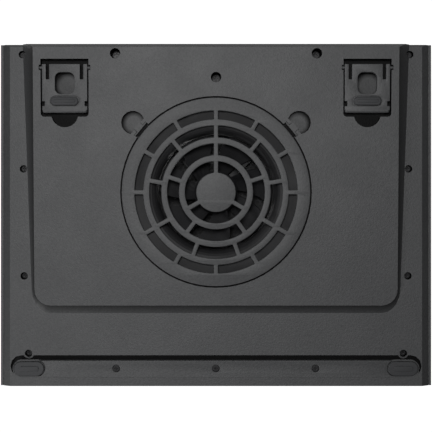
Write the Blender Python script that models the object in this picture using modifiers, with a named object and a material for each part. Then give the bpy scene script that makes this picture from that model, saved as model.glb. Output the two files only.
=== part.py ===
"""Laptop cooling pad: a wedge-shaped case with one large fan behind a round clip-in grille.

Metres, +Z up. X runs across the pad, +Y is its rear edge, and the origin lies on the table
under the middle of the pad. The pad stands on rubber pads: two on a rail along the front
edge, and one on each of the two flip-out feet, which are folded into their pockets here.
"""
import math

import bmesh
import bpy
from mathutils import Matrix, Vector

# ------------------------------------------------------------------ case
WIDTH = 0.380
DEPTH = 0.300
SLAB = 0.024              # thickness of the sloping case, top face to underside
TILT = 0.036              # rise of the case towards the rear, for each metre of depth
FRONT_EDGE_Z = 0.0025     # underside at the front edge
WALL = 0.0022
GAP = 0.0003              # clearance between pieces that touch
BEYOND = 0.010            # how far a cut runs past the face that it opens
SEAM_RISE = 0.010         # seam between the covers, above the underside
SKIRT = 0.0026            # side wall of the top cover, which hangs over the bottom cover
SKIRT_UP = 0.0005         # from the bottom cover's side edge up to the skirt's end
EDGE_IN = 0.006           # chamfer along the sides of the bottom cover, across
EDGE_UP = 0.003           # and up

# ------------------------------------------------------------------ raised panel
PANEL_Z = 0.0025
SIDE_STRIP = 0.031        # from the panel's edge to the side of the pad
PANEL_AHEAD = 0.0992       # from the fan's centre to the panel's front edge
PANEL_CORNER = 0.0139
CORNER_LEAST = 0.001
SIDE_DRAFT = 1.0          # outward run of the panel's side slope for each unit of rise
FRONT_DRAFT = 3.0
PANEL_BEVEL = (0.0036, 0.0070)      # bevel of the panel's rear edge: run and rise
CASE_BEVEL = (0.0018, 0.0018)       # and of the case's rear edge beside the panel

# ------------------------------------------------------------------ fan cover
FAN_BACK = 0.1297         # from the rear edge to the fan's centre
COVER_RADIUS = 0.0828
COVER_FIT = 0.0008        # slit round the fan cover
COVER_THICK = 0.0025
LEDGE_WIDTH = 0.0067
LEDGE_THICK = 0.0020
SLOT_RINGS = ((0.208, 0.327, 3), (0.391, 0.514, 5), (0.577, 0.703, 9), (0.767, 0.859, 12))  # of the radius
SPOKE = 0.00375

# ------------------------------------------------------------------ cover latches
LATCH_ANGLES = {"right": math.radians(40), "left": math.radians(140)}
SCOOP_RADIUS = 0.0102
SCOOP_OUT = 0.0115        # centre of the finger scoop, outside the cover's rim
SCOOP_DEPTH = 0.0035
BAY = (0.0154, 0.0030)    # opening beside the rim for the latch: along the rim, and outwards
BAY_IN = 0.0054           # the bay's cut into the ledge, behind the rim
RIB = 0.0028              # rib between the bay and the scoop
LATCH_BAR = 0.0011
LATCH_STEM = 0.0076
LATCH_PAST_RIB = 0.0010   # stem's end, past the rib
LATCH_THICK = 0.0020
WEB_WIDTH = 0.0120        # the latch's root, behind the rim
WEB_LENGTH = 0.0064

# ------------------------------------------------------------------ flip-out feet
FOOT_INSET = 0.0275       # from the panel's edge to the foot's centre line
POCKET_WIDTH = 0.0417
POCKET_DEPTH = 0.0065
POCKET_REAR = 0.0139      # from the rear edge to the pocket
POCKET_LENGTH = 0.0501
POCKET_CORNER = 0.003
FOOT_SIDE_FIT = 0.0012
FOOT_THICK = 0.0040
FOOT_REAR = 0.0045        # from the pocket's rear wall to the foot
FOOT_LENGTH = 0.0423
HINGE_IN = 0.0030         # from the foot's rear end to its axis
HINGE_DEEP = 0.0022       # from the panel's face to the axis
PIN_RADIUS = 0.0016
PIN_OUT = 0.0012          # pin's length past the pocket's side
SLIT = (0.0028, 0.0132)
SLIT_OUT = 0.0148
WINDOW = (0.0168, 0.0190)
WINDOW_BACK = 0.0165      # from the foot's rear end to the window's centre
WINDOW_CORNER = 0.005
FOOT_NOTCH = (0.0023, 0.0043)
FOOT_PAD = (0.0242, 0.0074)
FOOT_PAD_BACK = 0.0321
PAD_SEAT = 0.0008         # depth that a rubber pad is let in
FINGER_RADIUS = 0.0118
FINGER_IN = 0.0026        # centre of the half-moon scoop, inside the pocket's front wall

# ------------------------------------------------------------------ front rail
RAIL_HALF = 0.1784
RAIL_WIDTH = 0.0142
RAIL_AHEAD = 0.0156       # from the front edge to the rail's centre line
RAIL_FACE_Z = 0.0020
GROOVE = 0.0044
RAIL_DEEP = 0.0030        # depth of the rail's seat
RAIL_PAD = 0.0265
RAIL_PAD_WIDTH = 0.0126
RAIL_SCREW_X = (-0.0875, 0.0, 0.0875)

# ------------------------------------------------------------------ screws
SHANK_RADIUS = 0.0015
PILOT_RADIUS = SHANK_RADIUS + GAP
SHANK_LENGTH = 0.0090
HEAD_HEIGHT = 0.0016
WELL_FLOOR = 0.0016
SMALL_WELL = 0.00335
SMALL_HEAD = 0.0027
SMALL_DEPTH = 0.0060
LARGE_WELL = 0.0046
LARGE_HEAD = 0.0036
LARGE_DEPTH = 0.0140
BOSS_WALL = 0.0015
RAIL_HEAD = 0.0029
RAIL_HEAD_HEIGHT = 0.0010
RAIL_HEAD_DEEP = 0.0016   # depth of the head's seat in the rail
FAN_SCREW_OUT = COVER_RADIUS + 0.0092
FAN_SCREW_ANGLES = tuple(math.radians(a) for a in (20, 160, 200, 340))

# ------------------------------------------------------------------ fan
FAN_TOP = 0.0174          # height of the fan frame
FLANGE_THICK = 0.0020
FLANGE_RADIUS = COVER_RADIUS + 0.0037
BELL_RADIUS = COVER_RADIUS * 0.7126
DUCT_RADIUS = COVER_RADIUS * 0.616
DUCT_WALL = 0.0025
BELL_HEIGHT = 0.0080
TIP_FIT = 0.0012
ROTOR_UP = 0.0019         # from the flange's lower face to the impeller
ROTOR_RADIUS = 0.0190
ROTOR_WALL = 0.0015
ROTOR_HEIGHT = 0.0120
BLADES = 7
BLADE_SWEEP = math.radians(38)
BLADE_THICK = 0.0012
MAGNET_WALL = 0.0026
EAR_RADIUS = 0.0048
STEP = 0.0002             # small step where a bar meets the face of what it joins
CARRIER_THICK = 0.0022
STRUT_WIDTH = 0.0050
SOCKET_FLOOR = 0.0008
ROTOR_FLOOR = 0.0020
ROTOR_ROUND = 0.0015
AIR_GAP = 0.0008
STATOR_POLES = 4
STATOR_CORE = 0.0085
STATOR_NECK = 0.0044
STATOR_HEAD = 0.0025
STATOR_SPREAD = math.radians(34)
STATOR_HEIGHT = 0.0070
FAN_BOARD_RADIUS = 0.0135
FAN_BOARD_THICK = 0.0010
BLADE_LEAN = 0.35
BLADE_CAMBER = 0.12
TUBE_RADIUS = 0.0055
BEARING_RADIUS = 0.0040
SHAFT_RADIUS = 0.0015

# ------------------------------------------------------------------ top
TOP_OPENING = (WIDTH - 0.130, DEPTH - 0.110)
MESH_LAP = 0.004
MESH_THICK = 0.0008
MESH_SLOTS = (13, 3)
MESH_BARS = (0.005, 0.010)
GRIP = (0.012, DEPTH - 0.080, 0.0010)
GRIP_X = WIDTH / 2 - 0.044
LIP_HEIGHT = 0.0030
LIP_WIDTH = 0.0032
LIP_HALF = WIDTH / 2 - 0.040

# ------------------------------------------------------------------ power inlet and switch
BOARD_X = (0.030, 0.066)
BOARD_LENGTH = 0.0168
BOARD_Z = 0.0100
BOARD_THICK = 0.0012
SOCKET_X = 0.040
SOCKET = (0.0077, 0.0100, 0.0039)
SOCKET_BACK = 0.0004
SOCKET_SHELL = 0.0004
SOCKET_MOUTH = 0.0070
TONGUE = (0.0044, 0.0008)
TONGUE_BACK = 0.0010
SWITCH_X = 0.056
SWITCH = (0.0090, 0.0050, 0.0040)
SLIDER = (0.0030, 0.0021, 0.0026)
SLIDER_TRAVEL = 0.0025
LEAD_RADIUS = 0.0010
LEAD_X = 0.036
LEAD_AHEAD = 0.055
LEAD_BOW = 0.006
LEAD_STEPS = 14
POST_RADIUS = 0.0025
POST_INSET = 0.0040

# places that several pieces share
REAR_Y = DEPTH / 2
FRONT_Y = -DEPTH / 2
PANEL_HALF = WIDTH / 2 - SIDE_STRIP
FAN_Y = REAR_Y - FAN_BACK
PANEL_FRONT_Y = FAN_Y - PANEL_AHEAD
OPENING_RADIUS = COVER_RADIUS + COVER_FIT
BAY_OUTER = OPENING_RADIUS + BAY[1]
LEDGE_Z = PANEL_Z + COVER_THICK + GAP
LEDGE_TOP_Z = LEDGE_Z + LEDGE_THICK
FLANGE_Z = LEDGE_TOP_Z + GAP
FRAME_TOP_Z = FLANGE_Z + FAN_TOP
ROTOR_Z = FLANGE_Z + ROTOR_UP
TUBE_Z = ROTOR_Z + ROTOR_FLOOR + 3 * GAP
CARRIER_Z = FRAME_TOP_Z - CARRIER_THICK
FOOT_X = PANEL_HALF - FOOT_INSET
POCKET_REAR_Y = REAR_Y - POCKET_REAR
POCKET_FRONT_Y = POCKET_REAR_Y - POCKET_LENGTH
POCKET_Z = PANEL_Z + POCKET_DEPTH
FOOT_REAR_Y = POCKET_REAR_Y - FOOT_REAR
HINGE_Y = FOOT_REAR_Y - HINGE_IN
HINGE_Z = PANEL_Z + HINGE_DEEP
RAIL_Y = FRONT_Y + RAIL_AHEAD
BOARD_FRONT_Y = REAR_Y - WALL - GAP - BOARD_LENGTH
BOARD_TOP_Z = BOARD_Z + BOARD_THICK
SOCKET_Z = BOARD_TOP_Z + GAP
SLIDER_Z = SOCKET_Z + SWITCH[2] / 2


def under_z(y):
    """Height of the sloping underside at y."""
    return FRONT_EDGE_Z + TILT * (y - FRONT_Y)


def top_z(y):
    """Height of the sloping top face at y."""
    return under_z(y) + SLAB


SIDE_SCREWS = ((0.0198, REAR_Y - 0.0088), (0.0208, REAR_Y - 0.1092),
               (0.0214, REAR_Y - 0.2032), (0.0253, FRONT_Y + 0.0287))
SMALL_SCREWS = [(side * (WIDTH / 2 - inset), y) for inset, y in SIDE_SCREWS for side in (-1, 1)]
LARGE_SCREWS = [(-0.0875, REAR_Y - 0.0092), (0.0875, REAR_Y - 0.0092), (0.0, REAR_Y - 0.0297)]
RAIL_SEAT_Z = under_z(RAIL_Y) + RAIL_DEEP


# ------------------------------------------------------------------ making things
def clear_scene():
    for obj in list(bpy.data.objects):
        bpy.data.objects.remove(obj, do_unlink=True)


def new_collection(name):
    collection = bpy.data.collections.new(name)
    bpy.context.scene.collection.children.link(collection)
    return collection


def new_material(name, colour, roughness, metallic=0.0):
    material = bpy.data.materials.new(name)
    material.use_nodes = True
    shader = material.node_tree.nodes["Principled BSDF"]
    shader.inputs["Base Color"].default_value = (*colour, 1.0)
    shader.inputs["Roughness"].default_value = roughness
    shader.inputs["Metallic"].default_value = metallic
    return material


def shape(name, *builders):
    """A mesh from builder functions, each of which adds one closed form to it."""
    bm = bmesh.new()
    for builder in builders:
        builder(bm)
    bmesh.ops.recalc_face_normals(bm, faces=bm.faces)
    mesh = bpy.data.meshes.new(name)
    bm.to_mesh(mesh)
    bm.free()
    return mesh


def part(name, data, material, origin=(0.0, 0.0, 0.0)):
    """Put a piece into the pad. Its data is in world places; the origin is its joint's axis."""
    obj = bpy.data.objects.new(name, data)
    PAD.objects.link(obj)
    if any(origin):
        data.transform(Matrix.Translation(-Vector(origin)))
        obj.location = origin
    data.materials.append(material)
    return obj


def tool(name, *builders):
    """A body that cuts a piece or is joined to it."""
    obj = bpy.data.objects.new(name, shape(name, *builders))
    TOOLS.objects.link(obj)
    obj.hide_render = True
    obj.display_type = "WIRE"
    return obj


def combine(target, operation, other):
    modifier = target.modifiers.new(f"{operation.lower()} {other.name}", "BOOLEAN")
    modifier.operation = operation
    modifier.object = other
    modifier.solver = "EXACT"


def add(target, name, *builders):
    combine(target, "UNION", tool(name, *builders))


def cut(target, name, *builders):
    combine(target, "DIFFERENCE", tool(name, *builders))


def block(low, high, tilt=0.0):
    """Box between two corners. With a tilt, its heights are those at y = 0."""
    def build(bm):
        size = Vector(high) - Vector(low)
        middle = (Vector(high) + Vector(low)) / 2
        place = Matrix.Translation(middle) @ Matrix.Diagonal((*size, 1.0))
        for vert in bmesh.ops.create_cube(bm, size=1.0, matrix=place)["verts"]:
            vert.co.z += tilt * vert.co.y
    return build


def rod(x, y, low, high, radius, sides=12):
    """Upright round bar."""
    def build(bm):
        place = Matrix.Translation((x, y, (low + high) / 2))
        bmesh.ops.create_cone(bm, cap_ends=True, segments=sides, radius1=radius, radius2=radius,
                              depth=high - low, matrix=place)
    return build


def prism(outline, low, high):
    """Upright prism on an outline of (x, y) points."""
    def build(bm):
        face = bm.faces.new([bm.verts.new((x, y, low)) for x, y in outline])
        raised = bmesh.ops.extrude_face_region(bm, geom=[face])["geom"]
        verts = [item for item in raised if isinstance(item, bmesh.types.BMVert)]
        bmesh.ops.translate(bm, verts=verts, vec=(0.0, 0.0, high - low))
    return build


def arc(x, y, radius, start, end, steps):
    """Points along an arc, both ends included."""
    angles = [start + (end - start) * i / steps for i in range(steps + 1)]
    return [(x + radius * math.cos(a), y + radius * math.sin(a)) for a in angles]


def rounded(x, y, length, width, radius, steps=4):
    """Outline of a rectangle with round corners, as (x, y) points."""
    points = []
    for quarter, (sx, sy) in enumerate(((1, 1), (-1, 1), (-1, -1), (1, -1))):
        start = quarter * math.pi / 2
        centre_x = x + sx * (length / 2 - radius)
        centre_y = y + sy * (width / 2 - radius)
        points += arc(centre_x, centre_y, radius, start, start + math.pi / 2, steps)
    return points


def stadium(x, y, length, width, steps=6):
    """Outline of a bar with half-round ends."""
    half = length / 2 - width / 2
    right = arc(x + half, y, width / 2, -math.pi / 2, math.pi / 2, steps)
    left = arc(x - half, y, width / 2, math.pi / 2, 3 * math.pi / 2, steps)
    return right + left


def turned(name, profile, material, place, steps=16, closed=False, turn=0.0):
    """Turned piece: the profile's (radius, height) points run down its outer side."""
    mesh = bpy.data.meshes.new(name)
    ends = [(i, i + 1) for i in range(len(profile) - 1)]
    if closed:
        ends.append((len(profile) - 1, 0))
    mesh.from_pydata([(radius, 0.0, height) for radius, height in profile], ends, [])
    return turned_copy(name, mesh, material, place, steps, turn)


def turned_copy(name, mesh, material, place, steps=16, turn=0.0):
    """Place a turned profile; several screws share one profile."""
    obj = bpy.data.objects.new(name, mesh)
    PAD.objects.link(obj)
    obj.location = place
    obj.rotation_euler = (turn, 0.0, 0.0)
    if not mesh.materials:
        mesh.materials.append(material)
    screw = obj.modifiers.new("turned", "SCREW")
    screw.steps = steps
    screw.render_steps = steps
    screw.use_merge_vertices = True
    screw.merge_threshold = 0.00005
    screw.use_smooth_shade = True
    return obj


def flat_piece(name, outlines, thickness, material, place):
    """Flat piece from 2D outlines; those inside the first are its holes."""
    curve = bpy.data.curves.new(name, "CURVE")
    curve.dimensions = "2D"
    curve.fill_mode = "BOTH"
    curve.extrude = thickness / 2
    for outline in outlines:
        spline = curve.splines.new("POLY")
        spline.points.add(len(outline) - 1)
        for point, (x, y) in zip(spline.points, outline):
            point.co = (x, y, 0.0, 1.0)
        spline.use_cyclic_u = True
    curve.materials.append(material)
    obj = bpy.data.objects.new(name, curve)
    PAD.objects.link(obj)
    obj.location = place
    return obj


def case_section(half, low, high, front_y, rear_y):
    """Long block that follows the case's slope, with its lower side edges chamfered."""
    def build(bm):
        outline = [(half, high), (half, low + EDGE_UP), (half - EDGE_IN, low),
                   (EDGE_IN - half, low), (-half, low + EDGE_UP), (-half, high)]
        face = bm.faces.new([bm.verts.new((x, front_y, z)) for x, z in outline])
        far = bmesh.ops.extrude_face_region(bm, geom=[face])["geom"]
        far_verts = [item for item in far if isinstance(item, bmesh.types.BMVert)]
        bmesh.ops.translate(bm, verts=far_verts, vec=(0.0, rear_y - front_y, 0.0))
        for vert in bm.verts:
            vert.co.z += TILT * vert.co.y
    return build


def panel_form(inset, face_z, end_y, into):
    """The raised panel: a level face whose sides slope out to just inside the case's floor."""
    def build(bm):
        half = PANEL_HALF - inset
        front = PANEL_FRONT_Y + inset
        corner = max(PANEL_CORNER - inset, CORNER_LEAST)
        ring = [(half, end_y, 1.0, 0.0)]
        ring.append((-half, end_y, -1.0, 0.0))
        for side, start in ((-1, math.pi), (1, 1.5 * math.pi)):
            centre = (side * (half - corner), front + corner)
            for i in range(6):
                angle = start + i * math.pi / 10
                out = (math.cos(angle), math.sin(angle))
                ring.append((centre[0] + corner * out[0], centre[1] + corner * out[1], *out))
        lower = [bm.verts.new((x, y, face_z)) for x, y, _, _ in ring]
        face = bm.faces.new(lower)
        upper = bmesh.ops.extrude_face_region(bm, geom=[face])["geom"]
        for vert in [item for item in upper if isinstance(item, bmesh.types.BMVert)]:
            x, y, out_x, out_y = min(ring, key=lambda p: (p[0] - vert.co.x) ** 2 + (p[1] - vert.co.y) ** 2)
            run_x = SIDE_DRAFT * out_x
            run_y = FRONT_DRAFT * out_y
            rise = (under_z(y) + into - face_z) / (1.0 - TILT * run_y)
            vert.co = (x + run_x * rise, y + run_y * rise, face_z + rise)
    return build


# ------------------------------------------------------------------ bottom cover
def bottom_cover():
    """Moulded tray: sloping floor, level raised panel, pockets, wells and the fan's opening."""
    half = WIDTH / 2 - SKIRT - GAP
    floor = under_z(0.0)
    outside = case_section(half, floor, floor + SEAM_RISE, FRONT_Y, REAR_Y)
    cover = part("bottom_cover", shape("bottom_cover", outside), CASE_PLASTIC)
    add(cover, "panel_outside", panel_form(0.0, PANEL_Z, REAR_Y + BEYOND, WALL / 2))
    cut(cover, "rear_trim", block((-WIDTH, REAR_Y, -BEYOND), (WIDTH, REAR_Y + 2 * BEYOND, 4 * SLAB)))
    inside = case_section(half - WALL, floor + WALL, floor + SLAB, FRONT_Y + WALL, REAR_Y - WALL)
    cut(cover, "tray_inside", inside)
    cut(cover, "panel_inside", panel_form(WALL, PANEL_Z + WALL, REAR_Y - WALL, 1.5 * WALL))
    rear_bevels(cover)
    fan_mounting(cover)
    latch_scoops(cover)
    for side in (-1, 1):
        foot_pocket(cover, side)
    rail_seat(cover)
    screw_wells(cover)
    rear_wall_openings(cover)


def rear_bevels(cover):
    """Bevels along the rear lower edges of the panel and of the case beside it."""
    run, rise = PANEL_BEVEL
    slant = math.hypot(run, rise)
    inward = (-WALL * rise / slant, WALL * run / slant)
    near = (REAR_Y - run, PANEL_Z)
    far = (REAR_Y, PANEL_Z + rise)
    lining = [near, far, (far[0] + inward[0], far[1] + inward[1]), (near[0] + inward[0], near[1] + inward[1])]
    lined = PANEL_HALF - WALL / 2
    add(cover, "panel_bevel_lining", side_prism(-lined, lined, lining))
    cut(cover, "panel_bevel", side_prism(-WIDTH, WIDTH, wedge(PANEL_Z, run, rise)))
    start = PANEL_HALF + SIDE_DRAFT * (under_z(REAR_Y) - PANEL_Z)
    section = wedge(under_z(REAR_Y), *CASE_BEVEL)
    cut(cover, "case_bevels", side_prism(start, WIDTH, section), side_prism(-WIDTH, -start, section))


def wedge(corner_z, run, rise):
    """Section of the cut that bevels the rear edge at this height."""
    return [(REAR_Y - 2 * run, corner_z - rise), (REAR_Y + run, corner_z - rise),
            (REAR_Y + run, corner_z + 2 * rise)]


def side_prism(start_x, end_x, section):
    """Solid along X whose section is given in y and z."""
    def build(bm):
        face = bm.faces.new([bm.verts.new((start_x, y, z)) for y, z in section])
        ends = bmesh.ops.extrude_face_region(bm, geom=[face])["geom"]
        moved = [item for item in ends if isinstance(item, bmesh.types.BMVert)]
        bmesh.ops.translate(bm, verts=moved, vec=(end_x - start_x, 0.0, 0.0))
    return build


def fan_mounting(cover):
    """Ledge that the fan cover rests on, and the bosses of the fan's screws."""
    start = PANEL_Z + WALL / 2
    below = PANEL_Z - BEYOND
    above = LEDGE_TOP_Z + BEYOND
    add(cover, "ledge_ring", rod(0.0, FAN_Y, start, LEDGE_TOP_Z, OPENING_RADIUS + WALL, 60))
    cut(cover, "fan_opening", rod(0.0, FAN_Y, below, LEDGE_Z, OPENING_RADIUS, 60))
    cut(cover, "ledge_hole", rod(0.0, FAN_Y, below, above, OPENING_RADIUS - LEDGE_WIDTH, 60))
    boss = PILOT_RADIUS + BOSS_WALL
    spots = [fan_screw_place(angle) for angle in FAN_SCREW_ANGLES]
    add(cover, "fan_bosses", *[rod(x, y, start, LEDGE_TOP_Z, boss) for x, y in spots])
    cut(cover, "fan_pilots", *[rod(x, y, PANEL_Z + WALL, above, PILOT_RADIUS) for x, y in spots])


def fan_screw_place(angle):
    return FAN_SCREW_OUT * math.cos(angle), FAN_Y + FAN_SCREW_OUT * math.sin(angle)


def at_rim(points, angle):
    """Turn (along the rim, outwards) points to their place round the fan's axis."""
    across = Vector((-math.sin(angle), math.cos(angle)))
    outward = Vector((math.cos(angle), math.sin(angle)))
    return [tuple(across * t + outward * r) for t, r in points]


def fan_centred(points):
    return [(x, y + FAN_Y) for x, y in points]


def rim_box(half_width, inner, outer, angle):
    """Outline of a rectangle that lies square to the rim, as (x, y) points."""
    corners = [(-half_width, inner), (half_width, inner), (half_width, outer), (-half_width, outer)]
    return fan_centred(at_rim(corners, angle))


def scoop_outline(angle, margin):
    """Finger scoop of a latch: a circle cut off by a straight rib beside the bay."""
    radius = SCOOP_RADIUS + margin
    chord = BAY_OUTER + RIB - margin - (COVER_RADIUS + SCOOP_OUT)
    start = math.asin(chord / radius)
    points = arc(0.0, COVER_RADIUS + SCOOP_OUT, radius, start, math.pi - start, 12)
    return fan_centred(at_rim(points, angle))


def latch_scoops(cover):
    """Finger scoops beside the fan's opening, and a bay and a notch for each latch."""
    below = PANEL_Z - BEYOND
    for side, angle in LATCH_ANGLES.items():
        cup = prism(scoop_outline(angle, WALL), PANEL_Z + WALL / 2, LEDGE_TOP_Z)
        add(cover, f"scoop_cup_{side}", cup)
        cut(cover, f"scoop_{side}", prism(scoop_outline(angle, 0.0), below, PANEL_Z + SCOOP_DEPTH))
        bay = rim_box(BAY[0] / 2, OPENING_RADIUS - BAY_IN, BAY_OUTER, angle)
        cut(cover, f"latch_bay_{side}", prism(bay, below, LEDGE_TOP_Z + BEYOND))
        notch = rim_box(LATCH_STEM / 2 + GAP, BAY_OUTER - GAP, BAY_OUTER + RIB + GAP, angle)
        cut(cover, f"stem_notch_{side}", prism(notch, below, PANEL_Z + SCOOP_DEPTH))


def pocket_outline(x, margin):
    """Outline of a foot's pocket: square at the hinge, round corners at the front."""
    half = POCKET_WIDTH / 2 + margin
    rear = POCKET_REAR_Y + margin
    front = POCKET_FRONT_Y - margin
    points = [(x + half, rear), (x - half, rear)]
    points += arc(x - half + POCKET_CORNER, front + POCKET_CORNER, POCKET_CORNER, math.pi, 1.5 * math.pi, 4)
    points += arc(x + half - POCKET_CORNER, front + POCKET_CORNER, POCKET_CORNER,
                  1.5 * math.pi, 2 * math.pi, 4)
    return points


def foot_pocket(cover, side):
    """Pocket of one flip-out foot, with its half-moon finger scoop and its pin slots."""
    x = side * FOOT_X
    start = PANEL_Z + WALL / 2
    below = PANEL_Z - BEYOND
    finger_y = POCKET_FRONT_Y + FINGER_IN
    add(cover, f"pocket_box_{side}", prism(pocket_outline(x, WALL), start, POCKET_Z + WALL))
    add(cover, f"finger_box_{side}", rod(x, finger_y, start, POCKET_Z + WALL, FINGER_RADIUS + WALL, 24))
    cut(cover, f"pocket_{side}", prism(pocket_outline(x, 0.0), below, POCKET_Z))
    cut(cover, f"finger_{side}", rod(x, finger_y, below, POCKET_Z, FINGER_RADIUS, 24))
    slot_half = PIN_RADIUS + 2 * GAP
    reach = POCKET_WIDTH / 2 + PIN_OUT + GAP
    low = (x - reach, HINGE_Y - slot_half, below)
    high = (x + reach, HINGE_Y + slot_half, HINGE_Z + slot_half)
    cut(cover, f"pin_slots_{side}", block(low, high))


def rail_seat(cover):
    """Long seat of the front rail, wider at the rear so that a groove stays open beside it."""
    length = 2 * (RAIL_HALF + GROOVE / 2)
    width = RAIL_WIDTH + GROOVE + GAP
    y = RAIL_Y + (GROOVE - GAP) / 2
    backing = stadium(0.0, y, length, width + WALL)
    add(cover, "rail_backing", prism(backing, under_z(RAIL_Y) + WALL / 2, RAIL_SEAT_Z + WALL))
    cut(cover, "rail_seat", prism(stadium(0.0, y, length, width), -BEYOND, RAIL_SEAT_Z))
    boss = PILOT_RADIUS + BOSS_WALL
    top = RAIL_SEAT_Z + SHANK_LENGTH
    add(cover, "rail_bosses", *[rod(x, RAIL_Y, RAIL_SEAT_Z + WALL / 2, top, boss) for x in RAIL_SCREW_X])
    pilots = [rod(x, RAIL_Y, RAIL_SEAT_Z - BEYOND, top + BEYOND, PILOT_RADIUS) for x in RAIL_SCREW_X]
    cut(cover, "rail_pilots", *pilots)


def case_screws():
    """Name, place, start height, well radius, head radius and well depth of each case screw."""
    rows = []
    for i, (x, y) in enumerate(SMALL_SCREWS, start=1):
        rows.append((f"side_screw_{i}", x, y, under_z(y), SMALL_WELL, SMALL_HEAD, SMALL_DEPTH))
    for i, (x, y) in enumerate(LARGE_SCREWS, start=1):
        rows.append((f"panel_screw_{i}", x, y, PANEL_Z, LARGE_WELL, LARGE_HEAD, LARGE_DEPTH))
    return rows


def screw_wells(cover):
    """Deep wells of the case screws."""
    cups = []
    wells = []
    holes = []
    for _, x, y, start, radius, _, depth in case_screws():
        floor = start + depth
        cups.append(rod(x, y, start + WALL / 2, floor + WELL_FLOOR, radius + BOSS_WALL))
        wells.append(rod(x, y, start - BEYOND, floor, radius))
        holes.append(rod(x, y, floor - WELL_FLOOR, floor + BEYOND, PILOT_RADIUS))
    add(cover, "well_cups", *cups)
    cut(cover, "wells", *wells)
    cut(cover, "well_holes", *holes)


def rear_wall_openings(cover):
    """Openings of the power inlet and the switch, and the posts under their board."""
    front = REAR_Y - 1.5 * WALL
    rear = REAR_Y + BEYOND
    low = (SOCKET_X - SOCKET[0] / 2 - GAP, front, SOCKET_Z - GAP)
    high = (SOCKET_X + SOCKET[0] / 2 + GAP, rear, SOCKET_Z + SOCKET[2] + GAP)
    slot_low = (SWITCH_X - SLIDER[0] / 2 - GAP, front, SLIDER_Z - SLIDER[2] / 2 - GAP)
    slot_high = (SWITCH_X + SLIDER[0] / 2 + SLIDER_TRAVEL + GAP, rear, SLIDER_Z + SLIDER[2] / 2 + GAP)
    cut(cover, "rear_holes", block(low, high), block(slot_low, slot_high))
    post_y = BOARD_FRONT_Y + POST_INSET
    posts = [rod(x, post_y, PANEL_Z + WALL / 2, BOARD_Z - GAP, POST_RADIUS)
             for x in (BOARD_X[0] + POST_INSET, BOARD_X[1] - POST_INSET)]
    add(cover, "board_posts", *posts)


# ------------------------------------------------------------------ top cover and what it carries
def top_cover():
    """Upper shell: sloping top plate, side skirts outside the tray, and the screw bosses."""
    half = WIDTH / 2
    low = under_z(0.0) + EDGE_UP + SKIRT_UP
    top = top_z(0.0)
    outside = block((-half, FRONT_Y, low), (half, REAR_Y, top), TILT)
    cover = part("top_cover", shape("top_cover", outside), CASE_PLASTIC)
    inner = half - SKIRT
    seam = under_z(0.0) + SEAM_RISE + GAP
    cut(cover, "above_tray", block((-inner, FRONT_Y - BEYOND, low - SLAB),
                                   (inner, REAR_Y + BEYOND, seam), TILT))
    hollow = block((-inner, FRONT_Y + WALL, seam - WALL), (inner, REAR_Y - WALL, top - WALL), TILT)
    cut(cover, "top_inside", hollow)
    half_x = TOP_OPENING[0] / 2
    half_y = TOP_OPENING[1] / 2
    cut(cover, "top_opening", block((-half_x, -half_y, top - BEYOND), (half_x, half_y, top + BEYOND), TILT))
    lip_low = (-LIP_HALF, FRONT_Y, top - WALL / 2)
    lip_high = (LIP_HALF, FRONT_Y + LIP_WIDTH, top + LIP_HEIGHT)
    add(cover, "stop_lip", block(lip_low, lip_high, TILT))
    cut(cover, "grip_seats", *[grip_block(side, GAP, -PAD_SEAT, BEYOND) for side in (-1, 1)])
    bosses = []
    pilots = []
    for _, x, y, start, _, _, depth in case_screws():
        foot_z = start + depth + WELL_FLOOR + GAP
        tip = start + depth - GAP + SHANK_LENGTH
        bosses.append(rod(x, y, foot_z, top_z(y) - WALL / 2, PILOT_RADIUS + BOSS_WALL))
        pilots.append(rod(x, y, foot_z - WELL_FLOOR, tip + GAP, PILOT_RADIUS))
    add(cover, "top_bosses", *bosses)
    cut(cover, "top_pilots", *pilots)


def grip_block(side, margin, low, high):
    x = side * GRIP_X
    half_x = GRIP[0] / 2 + margin
    half_y = GRIP[1] / 2 + margin
    top = top_z(0.0)
    return block((x - half_x, -half_y, top + low), (x + half_x, half_y, top + high), TILT)


def grip_strips():
    """Rubber strips that keep the laptop from sliding."""
    for name, side in (("left", -1), ("right", 1)):
        strip = shape(f"grip_strip_{name}", grip_block(side, 0.0, GAP - PAD_SEAT, GRIP[2]))
        part(f"grip_strip_{name}", strip, RUBBER)


def top_mesh():
    """Perforated steel sheet under the top cover's opening."""
    columns, rows = MESH_SLOTS
    length = TOP_OPENING[0] + 2 * MESH_LAP
    width = TOP_OPENING[1] + 2 * MESH_LAP
    bar_x, bar_y = MESH_BARS
    slot_x = (TOP_OPENING[0] - bar_x * (columns + 1)) / columns
    slot_y = (TOP_OPENING[1] - bar_y * (rows + 1)) / rows
    slots = []
    for i in range(columns):
        for j in range(rows):
            x = -TOP_OPENING[0] / 2 + bar_x + i * (slot_x + bar_x)
            y = -TOP_OPENING[1] / 2 + bar_y + j * (slot_y + bar_y)
            slots.append([(x, y), (x, y + slot_y), (x + slot_x, y + slot_y), (x + slot_x, y)])
    edge = [(-length / 2, -width / 2), (length / 2, -width / 2),
            (length / 2, width / 2), (-length / 2, width / 2)]
    height = top_z(0.0) - WALL - GAP - MESH_THICK / 2
    sheet = flat_piece("top_mesh", [edge] + slots, MESH_THICK, STEEL_MESH, (0.0, 0.0, height))
    sheet.rotation_euler = (math.atan(TILT), 0.0, 0.0)


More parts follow.
